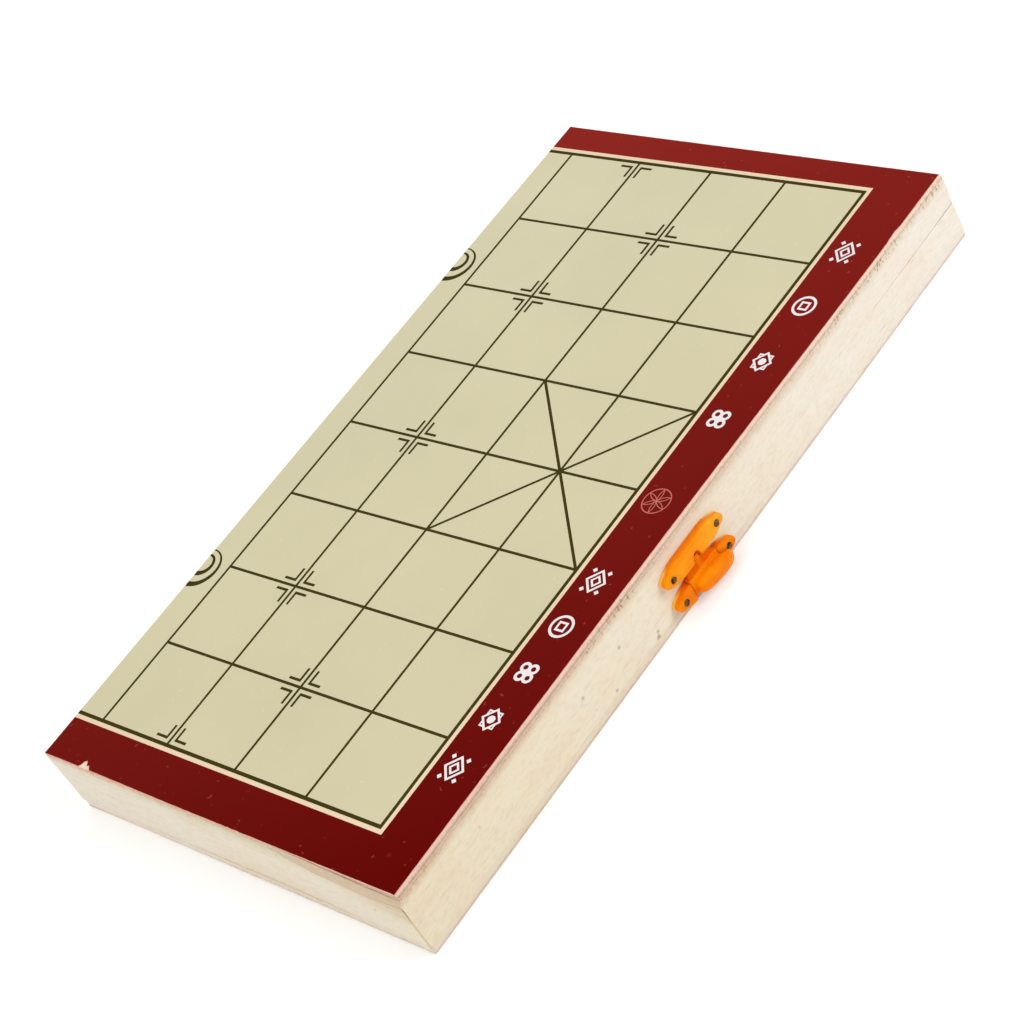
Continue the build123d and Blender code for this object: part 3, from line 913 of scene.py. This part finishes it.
RAILS = {"front": (0, 1), "right": (1, 2), "rear": (3, 2), "left": (0, 3)}  # the corners that each joins
LIP_DEPTH = 1.15  # the lip that hides the lid board's left edge reaches this deep
ARRIS = 0.28  # radius of the inner arrises
OUTER_ARRIS = {"front": 0.06, "left": 0.06, "right": 0.16, "rear": 0.16}
OPEN_ARRIS = 0.15  # what the outer arris gains where the seam is open
TOP_ARRIS = 0.1  # chamfer of the outer arris beside the board
SEAM_GAP = 0.42  # how far the trays stand apart at the front right corner
SEAM_BEHIND = 0.25  # share of that gap along the rear and at the end of the right side
LEAN = 1.0  # the lid's front rail leans out by this at its right end
RIGHT_IN = 0.2  # the right side of the lid's frame lies in by this near the front
CORNER_WEAR = 0.4  # and is worn by this near the board
CORNER_WEAR_FROM = 5.9  # height above the rim where that wear starts
CORNER_WEAR_RISE = 3.7
WORN_WIDTH = 1.0  # of the worn arris at the near left corner
WORN_LINE = 8.2  # height above the rim where it ends, at the corner itself
WORN_DROP = 1.4  # how much lower it ends a little further along
WORN_LENGTH = 0.42  # share of the left rail that it takes
GROOVE = 0.12  # depth of the groove below it
BEVEL_FACES = range(24, 27)  # the section's sides that are the worn arris
GROOVE_FACES = range(27, 29)  # and the groove
SPLIT = 0.32  # width of the split in the near mitre
SPLIT_WIDEST = 6.0  # height above the rim where it is that wide
SPLIT_CLOSES = 7.0  # and where it starts to close
LEAF_RECESS = 0.7  # depth of the recess for a hinge leaf
KNUCKLE_NOTCH = 1.65  # radius of the hollow round the knuckles
PIN_CLEARANCE = 0.25  # what it is longer than the pin at each end


def corner_arc(centre_a, centre_z, radius, start):
    """Return four points of a quarter circle, in (depth, height), from an angle in degrees."""
    angles = [math.radians(start + turn) for turn in (0, 30, 60, 90)]
    return [(centre_a + radius * math.cos(angle), centre_z + radius * math.sin(angle)) for angle in angles]


def rail_section(seam, lift, top, worn, line):
    """Return the rail's outline in (depth from the outer face, height above the rim), anticlockwise.

    seam is the radius of the outer arris at the rim, lift is how far the rim stands open, and top is the
    height of the lip beside the board. The upper outer arris is worn back by worn, down to the height line.
    """
    width, height, r = RAIL_WIDTH, RAIL_HEIGHT, ARRIS
    groove = GROOVE * smooth_step(worn / 0.5)
    points = corner_arc(seam, seam, seam, 180)
    points += [(width * share, 0.0) for share in (0.25, 0.5, 0.75)]
    points += corner_arc(width - r, r, r, 270)
    points += [(width, height * share) for share in (0.25, 0.5, 0.75)]
    points += corner_arc(width - r, height - r, r, 0)
    points += [(width * share, height) for share in (0.75, 0.5, 0.25)]
    points += [(LIP_DEPTH, height), (LIP_DEPTH - 0.02, top + 0.01)]
    points += [((TOP_ARRIS + worn) * (1 - share), top + (line - top) * share)
               for share in (0.0, 0.3, 0.65, 1.0)]
    points += [(groove, line - 0.12), (0.0, line - 0.24)]
    points += [(0.0, (line - 0.24) * share) for share in (0.885, 0.7, 0.52, 0.34, 0.17)]
    return [(depth, max(rise, lift)) for depth, rise in points]


def rail_place(name, share, depth):
    """Return the plan place of a point at a share of a rail's length and a depth from its outer face."""
    start, end = RAILS[name]
    outer, inner = OUTER[start].lerp(OUTER[end], share), INNER[start].lerp(INNER[end], share)
    if name == "left":
        outer.x = LEFT_SKEW * smooth_step(share / SKEW_SHARE) - HALF_LENGTH
    return outer.lerp(inner, depth / RAIL_WIDTH)


def worn_lid(place, height):
    """Return the place of a point of the lid's frame, which leans out and is worn at its corners."""
    x, y = place
    lean = LEAN * swelling(x) * front_share(y) * height / RAIL_HEIGHT
    right = smooth_step((x - HALF_LENGTH + RAIL_WIDTH) / RAIL_WIDTH)
    wear = CORNER_WEAR * smooth_step((height - CORNER_WEAR_FROM) / CORNER_WEAR_RISE)
    near_corner = smooth_step((CORNER_FROM - y) / (CORNER_FROM - FACE))
    x -= right * (RIGHT_IN * front_share(y) + wear * near_corner)
    if y < LIP_DEPTH - HALF_DEPTH:
        share = max(0.0, height - WORN_LINE) / (RAIL_HEIGHT - WORN_LINE)
        x = max(x, (TOP_ARRIS + WORN_WIDTH) * share - HALF_LENGTH)
    return Vector((x, y - lean))


def split_at(height):
    """Return how far the near mitre has split open at a height above the rim."""
    return SPLIT * smooth_step(height / SPLIT_WIDEST) * (1 - smooth_step((height - SPLIT_CLOSES) / 1.2))


def seam_opening(name, share):
    """Return how open the seam is, from 0 at the left to 1 at the front right corner."""
    if name == "front":
        return 0.4 * smooth_step((share - 0.75) / 0.15) + 0.6 * smooth_step((share - 0.95) / 0.02)
    if name == "right":
        return max(1.0 - share, SEAM_BEHIND)
    return SEAM_BEHIND if name == "rear" else 0.0


def lip_height(share):
    """Return how far the lid's left rail stands up beside its board."""
    return (PANEL_TOP - RAIL_TOP - 0.03) * smooth_step(share / SKEW_SHARE * 1.05)


def planed(place, height):
    """Return how far hand planing has hollowed an outer face at a point."""
    broad, local = ripple(*place, height * 0.1, 0.03), ripple(*place, height * 0.4 + 9, 0.16)
    return max(0.0, 0.05 + 0.05 * broad + 0.03 * local)


def section_at(name, body, share):
    """Return a rail's section at a share of its length."""
    top, arris = RAIL_HEIGHT, OUTER_ARRIS[name]
    if body == "base":
        return rail_section(arris, 0.0, top, 0.0, top - TOP_ARRIS)
    opening = seam_opening(name, share)
    arris += OPEN_ARRIS * opening
    if name != "left":
        return rail_section(arris, SEAM_GAP * opening, top, 0.0, top - TOP_ARRIS)
    top += lip_height(share)
    worn = WORN_WIDTH * (1 - smooth_step(share / WORN_LENGTH))
    line = WORN_LINE - WORN_DROP * smooth_step(share / 0.08)
    line += (top - TOP_ARRIS - line) * smooth_step(share / (WORN_LENGTH / 2) - 1)
    return rail_section(arris, 0.0, top, worn, line)


def rail_row(bm, name, body, share):
    """Add the vertices of one section of a rail."""
    row = []
    for depth, height in section_at(name, body, share):
        if depth < 0.01:
            depth = planed(rail_place(name, share, depth), height)
        place = rail_place(name, share, depth)
        if body == "lid":
            if name == "front" and share == 0 and depth < 0.2:
                place.x += split_at(height)
            elif name == "left" and share == 0 and depth < LIP_DEPTH and height > WORN_LINE:
                place.y = -HALF_DEPTH
            place = worn_lid(place, height)
        z = RIM + height if body == "lid" else RIM - height
        row.append(bm.verts.new((place.x, place.y, z)))
    return row


def rail_mesh(name, body, material):
    """Return a mitred rail of the lid, or its mirror image for the lower tray."""
    bm = bmesh.new()
    start, end = RAILS[name]
    count = round((OUTER[end] - OUTER[start]).length / 3.0)
    rows = [rail_row(bm, name, body, index / count) for index in range(count + 1)]
    for step, ring in enumerate(skin(bm, rows)):
        if body == "lid" and name == "left" and step / count < WORN_LENGTH * 0.8:
            for index, face in enumerate(ring):
                face.material_index = 1 if index in BEVEL_FACES else 2 if index in GROOVE_FACES else 0
    for cap in (bm.faces.new(rows[0]), bm.faces.new(rows[-1])):
        cap.material_index = 3
    bmesh.ops.recalc_face_normals(bm, faces=bm.faces)
    return piece_mesh(name, bm, [material, worn_arris_shade, seam_dirt, fresh_wood], 40)


def hinge_recesses(body):
    """Return the solids that a rear rail loses to its two hinges."""
    bottom, top = RIM - LEAF_RECESS, RIM + OVERCUT
    if body == "lid":
        bottom, top = RIM - OVERCUT, RIM + LEAF_RECESS
    solids = []
    for side in ("left", "right"):
        low, high = corners(f"{side}_hinge_{body}_leaf")
        pin_low, pin_high = corners(f"{side}_hinge_pin")
        middle = (pin_low + pin_high) / 2
        solids.append(block(low.x, high.x, low.y, HALF_DEPTH + OVERCUT, bottom, top))
        solids.append(rod(pin_low.x - PIN_CLEARANCE, pin_high.x + PIN_CLEARANCE, middle.y, middle.z,
                          KNUCKLE_NOTCH))
    return solids


def carved(mesh, solids):
    """Return the mesh without the solids."""
    body = linked("carved", mesh)
    return applied(body, cut_tools(body, solids))


def add_rails():
    for body in ("lid", "base"):
        for name in RAILS:
            mesh = rail_mesh(name, body, wood_x if name in ("front", "rear") else wood_y)
            if name == "rear":
                mesh = carved(mesh, hinge_recesses(body))
            add_piece(f"{body}_{name}_strip", mesh, body, f"{body}_{name}_rail")


# -------- latch

PIVOT = Vector((LATCH_X, FACE - 1.7, latch_low.z + 1.3))
PLATE_TAPER = 5.2
PLATE_END = 2.4
PLATE_ROUNDING = 1.6
GLUE_GAP = 0.02  # what the plates leave to the wood
SLOT = 13.2  # width of the lower plate's opening
WEB = 0.45  # thickness of the web that joins its cheeks
MOUTH_HALF = (1.8, PLATE - 0.6, 3.2)  # half sizes of the catch's opening for the tongue
MOUTH_DROP = 0.4  # how far below the catch the middle of that opening lies
RELIEF = 0.6  # how far the catch's foot stands off the rail
RELIEF_RISE = 0.3  # where that ends, above the rim
BORE_RADIUS = 0.8  # of the tab's bearings
BORE_DEPTH = 1.4
STUB_RADIUS = 0.7
STUB_LENGTH = 1.1
HEEL_RADIUS = 1.15
PASSAGE_RISE = 0.3  # how far above the pivot the way through below the web ends
TAB_GAP = 0.18  # between the tab and each cheek
SHOULDER = (PLATE - 0.1, 0.55)  # how far its front and its back stand out from the rails
SHOULDER_RISE = 0.6  # above the lower plate
APRON = (1.7, 0.6)  # the same for the sheet that fills the gap between the plates
APRON_WIDTH = 10.6
APRON_GAP = 0.3  # what it leaves to the catch
TONGUE = (2.2, 1.3)
TONGUE_WIDTH = 2.0
TONGUE_REACH = 1.2  # into the catch
PAD_MIDDLE = Vector((-3.8, FACE - PLATE - 0.5, 5.3))
PAD_HALF = (7.8, 2.08, 3.0)
PAD_TILT = 7
TAB_TURN = math.radians(75)  # how far the tab turns down
TAB_CLEARANCE = 0.3  # what it then leaves to the box
VOXEL = 0.2
NAIL_RADIUS = 1.05
NAIL_HEIGHT = 0.58
NAIL_SIDES = 28
NAIL_RINGS = (  # height above the plate, share of the radius, how far it is sunk
    (0.0, 0.98, 0.25), (0.06, 1.0, 0.0), (0.22, 0.95, 0), (0.42, 0.74, 0), (0.54, 0.42, 0),
)


def pillow(centre, half_sizes, tilt, power):
    """Return a rounded cushion-like solid: a superellipsoid turned about Y by tilt degrees."""
    bm = bmesh.new()
    bmesh.ops.create_icosphere(bm, subdivisions=5, radius=1.0)
    turn = Matrix.Rotation(math.radians(tilt), 3, "Y")
    for vert in bm.verts:
        size = sum(abs(value) ** power for value in vert.co) ** (1 / power)
        point = Vector([value / size * half for value, half in zip(vert.co, half_sizes)])
        vert.co = Vector(centre) + turn @ point
    return bm


def latch_block(width, out, back, z_0, z_1):
    """Return a block centred on the latch, between two distances in front of the rails' face."""
    return block(LATCH_X - width / 2, LATCH_X + width / 2, FACE - out, FACE - back, z_0, z_1)


def latch_rod(length, radius):
    """Return a round bar centred on the tab's pivot."""
    return rod(LATCH_X - length / 2, LATCH_X + length / 2, PIVOT.y, PIVOT.z, radius)


def add_remesh(body):
    remesh = body.modifiers.new("even", "REMESH")
    remesh.mode, remesh.voxel_size = "VOXEL", VOXEL * MM


def moulded(solids, cuts, smoothing):
    """Join solids, take the cuts out, and round every edge as a mould does. Return the mesh in metres."""
    joined = bmesh.new()
    for bm in solids:
        joined.from_mesh(piece_mesh("part", bm, []))
    bmesh.ops.scale(joined, vec=(1 / MM, 1 / MM, 1 / MM), verts=joined.verts)
    body = linked("moulding", piece_mesh("moulding", joined, []))
    add_remesh(body)
    tools = cut_tools(body, cuts)
    add_remesh(body)
    soften = body.modifiers.new("soften", "SMOOTH")
    soften.factor, soften.iterations = 0.5, smoothing
    mesh = applied(body, tools)
    mesh.materials.clear()
    mesh.materials.append(plastic)
    mesh.shade_smooth()
    return mesh


def rounded(outline, radius):
    """Return an outline with its corners rounded by curves that start a radius away from them."""
    points = []
    for index, corner in enumerate(outline):
        corner = Vector(corner)
        before, after = (Vector(outline[(index + way) % len(outline)]) - corner for way in (-1, 1))
        start = corner + before.normalized() * min(radius, before.length * 0.45)
        end = corner + after.normalized() * min(radius, after.length * 0.45)
        for step in range(5):
            share = step / 4
            points.append(tuple(start.lerp(corner, share).lerp(corner.lerp(end, share), share)))
    return points


def plate_solid(low, high):
    """Return a latch plate: two long sides that taper to a blunt end on the left and on the right."""
    middle, side = (low.z + high.z) / 2, (high.z - low.z) / 2
    reach, end = high.x - LATCH_X, PLATE_END / 2
    waist = reach - PLATE_TAPER
    upper = [(reach, end), (waist, side), (-waist, side), (-reach, end)]
    lower = [(-x, -z) for x, z in upper]
    outline = rounded([(LATCH_X + x, middle + z) for x, z in upper + lower], PLATE_ROUNDING)
    return prism(outline, FACE - PLATE, FACE - GLUE_GAP)


def add_catch():
    """Add the upper plate, with the mouth that takes the tongue."""
    mouth = pillow((LATCH_X, FACE - PLATE, catch_low.z - MOUTH_DROP), MOUTH_HALF, 0, 2.2)
    relief = block(catch_low.x - OVERCUT, catch_high.x + OVERCUT, FACE - RELIEF, FACE + OVERCUT,
                   catch_low.z - OVERCUT, RIM + RELIEF_RISE)
    mesh = moulded([plate_solid(catch_low, catch_high)], [mouth, relief], 7)
    add_piece("catch_keeper", mesh, "lid", "catch_plate")


def add_lower_plate():
    """Add the lower plate: two cheeks with the tab's bearings, joined behind the tab but open below it."""
    slot = latch_block(SLOT, PLATE + OVERCUT, WEB, latch_low.z - OVERCUT, latch_high.z + OVERCUT)
    bore = latch_rod(SLOT + 2 * BORE_DEPTH, BORE_RADIUS)
    passage = latch_block(SLOT, 1, -OVERCUT, latch_low.z - OVERCUT, PIVOT.z + PASSAGE_RISE)
    mesh = moulded([plate_solid(latch_low, latch_high)], [slot, bore, passage], 5)
    add_piece("latch_keeper", mesh, "base", "latch_plate")


def thumb_pad():
    """Return the tab's soft drooping pad. Its right end hangs free in front of the plate's cheek.

    Its low back edge leans forward, so that it swings in under the plate without touching the box."""
    pad = pillow(PAD_MIDDLE, PAD_HALF, PAD_TILT, 2.9)
    free_from, clear = LATCH_X + SLOT / 2 - 0.5, FACE - PLATE - 0.75
    for vert in pad.verts:
        if vert.co.x > free_from:
            vert.co.y = min(vert.co.y, clear)
        reach = FACE - TAB_CLEARANCE - PIVOT.y - (PIVOT.z - vert.co.z) * math.sin(TAB_TURN)
        vert.co.y = min(vert.co.y, PIVOT.y + reach / math.cos(TAB_TURN))
    return pad


def add_tab():
    """Add the thumb tab: heel, shoulder, apron and tongue, with the thumb pad in front."""
    width = SLOT - 2 * TAB_GAP
    heel, stubs = latch_rod(width, HEEL_RADIUS), latch_rod(width + 2 * STUB_LENGTH, STUB_RADIUS)
    shoulder = latch_block(width, *SHOULDER, PIVOT.z, latch_high.z + SHOULDER_RISE)
    apron = latch_block(APRON_WIDTH, *APRON, PIVOT.z, catch_low.z - APRON_GAP)
    tongue = latch_block(TONGUE_WIDTH, *TONGUE, latch_high.z, catch_low.z + TONGUE_REACH)
    mesh = moulded([heel, stubs, shoulder, apron, tongue, thumb_pad()], [], 4)
    add_piece("latch_thumb_tab", mesh, "tab", "latch_tab")


def nail_head(bm, x, y, z):
    """Add a domed nail head that faces -Y, with its rim sunk a little into the plate."""
    angles = [2 * math.pi * index / NAIL_SIDES for index in range(NAIL_SIDES)]
    rows = []
    for rise, share, sink in NAIL_RINGS:
        radii = [NAIL_RADIUS * share * (1 + 0.03 * math.sin(3 * angle + x)) for angle in angles]
        rows.append([bm.verts.new((x + r * math.cos(angle), y - rise + sink, z + r * math.sin(angle)))
                     for r, angle in zip(radii, angles)])
    bm.faces.new(rows[0])
    skin(bm, rows)
    tip = bm.verts.new((x, y - NAIL_HEIGHT, z))
    for index in range(NAIL_SIDES):
        bm.faces.new((rows[-1][index - 1], rows[-1][index], tip))


def add_nails():
    for body, node in (("lid", "catch_nails"), ("base", "latch_nails")):
        low, high = corners(node)
        bm = bmesh.new()
        for x in (low.x + NAIL_RADIUS, high.x - NAIL_RADIUS):
            nail_head(bm, x, FACE - PLATE, (low.z + high.z) / 2)
        bmesh.ops.recalc_face_normals(bm, faces=bm.faces)
        add_piece(f"{node}_heads", piece_mesh(node, bm, [nail_steel], 50), body, node)


# -------- chessmen

CHESSMAN_EDGE = 1.2
RING_RADIUS = 10.4  # of the painted ring
RING_WIDTH = 0.7
CARVING = 0.35
WOOD, PAINT = 0, 1


def triangle(radius, y):
    return disc(radius, 0, y, 3, math.pi / 2)


def wheel_mark():
    """Return a rim, a hub and six spokes."""
    shapes = frame_of(disc, 6.2, 1.0) + [(True, disc(1.6))]
    for spoke in range(6):
        cos, sin = math.cos(spoke * math.pi / 3), math.sin(spoke * math.pi / 3)
        bar = [(1.4, -0.4), (5.4, -0.4), (5.4, 0.4), (1.4, 0.4)]
        shapes.append((True, [(x * cos - y * sin, x * sin + y * cos) for x, y in bar]))
    return shapes


def dots_mark():
    """Return one dot between four."""
    ring = [(3.8 * math.cos(turn), 3.8 * math.sin(turn)) for turn in (0.785, 2.356, 3.927, 5.498)]
    return [(True, disc(1.25, x, y, 20)) for x, y in [(0, 0)] + ring]


# Each rank's plain geometric mark, as (painted, outline) pairs in millimetres
CHESSMAN_MARKS = {
    "general": frame_of(lozenge, 6.6, 1.0) + frame_of(square, 5.4, 1.2) + [(True, disc(1.8))],
    "advisor": frame_of(lozenge, 6.6, 1.1) + frame_of(lozenge, 3.6, 1.1),
    "elephant": [(True, disc(5.0, -1.4)), (False, disc(4.6, -2.7)), (True, disc(2.2, -2.6)),
                 (True, disc(0.9, 4.8, 4.2)), (True, disc(0.9, 4.8, -4.2))],
    "horse": [(True, triangle(6.4, -0.8)), (False, triangle(4.6, -2.2)), (True, triangle(2.0, -2.6))],
    "chariot": wheel_mark(),
    "cannon": frame_of(disc, 6.0, 1.1) + [(True, disc(3.0))],
    "soldier": dots_mark(),
}


def chessman_profile(radius, height):
    """Return (radius, height) down the side of a chessman, from below its flat top to its foot."""
    flat = radius - CHESSMAN_EDGE
    edge = [(flat + CHESSMAN_EDGE * math.sin(turn), height - CHESSMAN_EDGE * (1 - math.cos(turn)))
            for turn in (0.4, 0.8, 1.2, 1.571)]
    below = [(r, height - z) for r, z in reversed(edge + [(radius, height / 2)])]
    return edge + below + [(flat, 0.0)]


def chessman_mesh(name, rank, radius, height, materials):
    """Return a turned disc standing on Z = 0 with its ring and its mark carved in and painted."""
    bm = bmesh.new()
    marks = frame_of(disc, RING_RADIUS, RING_WIDTH, count=64) + CHESSMAN_MARKS[rank]
    shapes = [(PAINT if painted else WOOD, points) for painted, points in marks]
    edges = add_flat_faces(bm, [(WOOD, disc(radius - CHESSMAN_EDGE, count=64))] + shapes, height)
    for r, z in chessman_profile(radius, height):
        made = bmesh.ops.extrude_edge_only(bm, edges=edges)
        for vert in of_kind(made, BMVert):
            around = Vector((vert.co.x, vert.co.y)).normalized() * r
            vert.co = (around.x, around.y, z)
        for face in of_kind(made, BMFace):
            face.material_index, face.smooth = WOOD, True
        edges = [edge for edge in of_kind(made, BMEdge) if edge.is_boundary]
    bmesh.ops.edgeloop_fill(bm, edges=edges, mat_nr=WOOD)
    painted = [face for face in bm.faces if face.material_index == PAINT]
    for vert in of_kind(bmesh.ops.extrude_face_region(bm, geom=painted), BMVert):
        vert.co.z -= CARVING
    bmesh.ops.recalc_face_normals(bm, faces=bm.faces)
    for edge in bm.edges:
        edge.smooth = all(face.smooth for face in edge.link_faces)
    return piece_mesh(name, bm, materials)


def add_chessmen():
    """Add each chessman, a little turned. Those of one side and rank share a mesh."""
    meshes = {}
    for node in sorted(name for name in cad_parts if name.startswith(("red_", "black_"))):
        side, rank = node.split("_")[:2]
        low, high = corners(node)
        if (side, rank) not in meshes:
            paint = chess_red if side == "red" else chess_black
            size = (high.x - low.x) / 2, high.z - low.z
            meshes[side, rank] = chessman_mesh(f"{side}_{rank}_disc", rank, *size, [chess_wood, paint])
        turn = Matrix.Rotation(random.Random(node).uniform(-0.5, 0.5), 4, "Z")
        foot = Vector(((low.x + high.x) / 2, (low.y + high.y) / 2, low.z)) * MM
        add_piece(f"{node}_disc", meshes[side, rank], "base", node,
                  Matrix.Translation(foot) @ turn)


def dress_hinges():
    """Give the hinges' own solids their metal."""
    for name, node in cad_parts.items():
        if "hinge" in name:
            for slot in node.material_slots:
                slot.material = nail_steel if name.endswith("nails") else hinge_steel


add_prints()
add_panels()
add_rails()
add_catch()
add_lower_plate()
add_tab()
add_nails()
add_chessmen()
dress_hinges()


# -------- stage

AIM = Vector((-14.724, -19.945, 25.2))
CAMERA_DISTANCE = 784.125
CAMERA_AZIMUTH = -30.061
CAMERA_ELEVATION = 37.960
CAMERA_ROLL = -32.317
CAMERA_LENS = 98.50


def place_facing(obj, azimuth, elevation, distance, roll=0.0):
    """Put a camera or lamp on a sphere round the aim, looking at it. The angles are in degrees."""
    turn = Matrix.Rotation(math.radians(azimuth), 3, "Z")
    tilt = Matrix.Rotation(math.radians(90 - elevation), 3, "X")
    rotation = turn @ tilt @ Matrix.Rotation(math.radians(roll), 3, "Z")
    place = AIM + rotation @ Vector((0, 0, distance))
    obj.matrix_world = Matrix.Translation(place * MM) @ rotation.to_4x4()


def add_camera():
    data = bpy.data.cameras.new("camera")
    data.lens = CAMERA_LENS
    data.sensor_width = 36.0
    data.clip_start = 0.01
    camera = linked("camera", data)
    place_facing(camera, CAMERA_AZIMUTH, CAMERA_ELEVATION, CAMERA_DISTANCE, CAMERA_ROLL)
    bpy.context.scene.camera = camera


def add_softbox(name, azimuth, elevation, distance, size, power):
    data = bpy.data.lights.new(name, "AREA")
    data.shape = "DISK"
    data.size = size * MM
    data.energy = power
    place_facing(linked(name, data), azimuth, elevation, distance)


def add_floor():
    """Add a plain floor: it takes the object's shadow, and looks white to the camera, far away too."""
    bm = bmesh.new()
    bmesh.ops.create_grid(bm, x_segments=1, y_segments=1, size=4000)
    material, tree, shader = new_material("floor_white", Roughness=0.9, Specular_IOR_Level=0.0,
                                          Base_Color=(0.86, 0.86, 0.86), Emission_Color=(1, 1, 1))
    rays = add_node(tree, "LightPath").outputs
    seen = combined("MAXIMUM", rays["Is Camera Ray"], rays["Is Glossy Ray"], rays["Is Transmission Ray"])
    lift = ramp(distance_to(tree, (0, 0, 0)), 0.4, 1.2, 0.26, 0.62)
    set_inputs(shader, Emission_Strength=combined("MULTIPLY", seen, lift))
    linked("floor", piece_mesh("floor", bm, [material]))


def add_world():
    world = bpy.data.worlds.new("studio")
    bpy.context.scene.world = world
    world.use_nodes = True
    seen = add_node(world.node_tree, "LightPath").outputs["Is Camera Ray"]
    strength = ramp(seen, 0, 1, 0.5, 1.0)
    set_inputs(world.node_tree.nodes["Background"], Color=(1, 1, 1), Strength=strength)


add_camera()
add_floor()
add_world()
add_softbox("key", 30, 35, 1200, 700, 6.0)
add_softbox("fill", -80, 30, 1300, 800, 6.0)
add_softbox("top", 150, 70, 1500, 900, 4.5)
bpy.context.scene.view_settings.view_transform = "Standard"
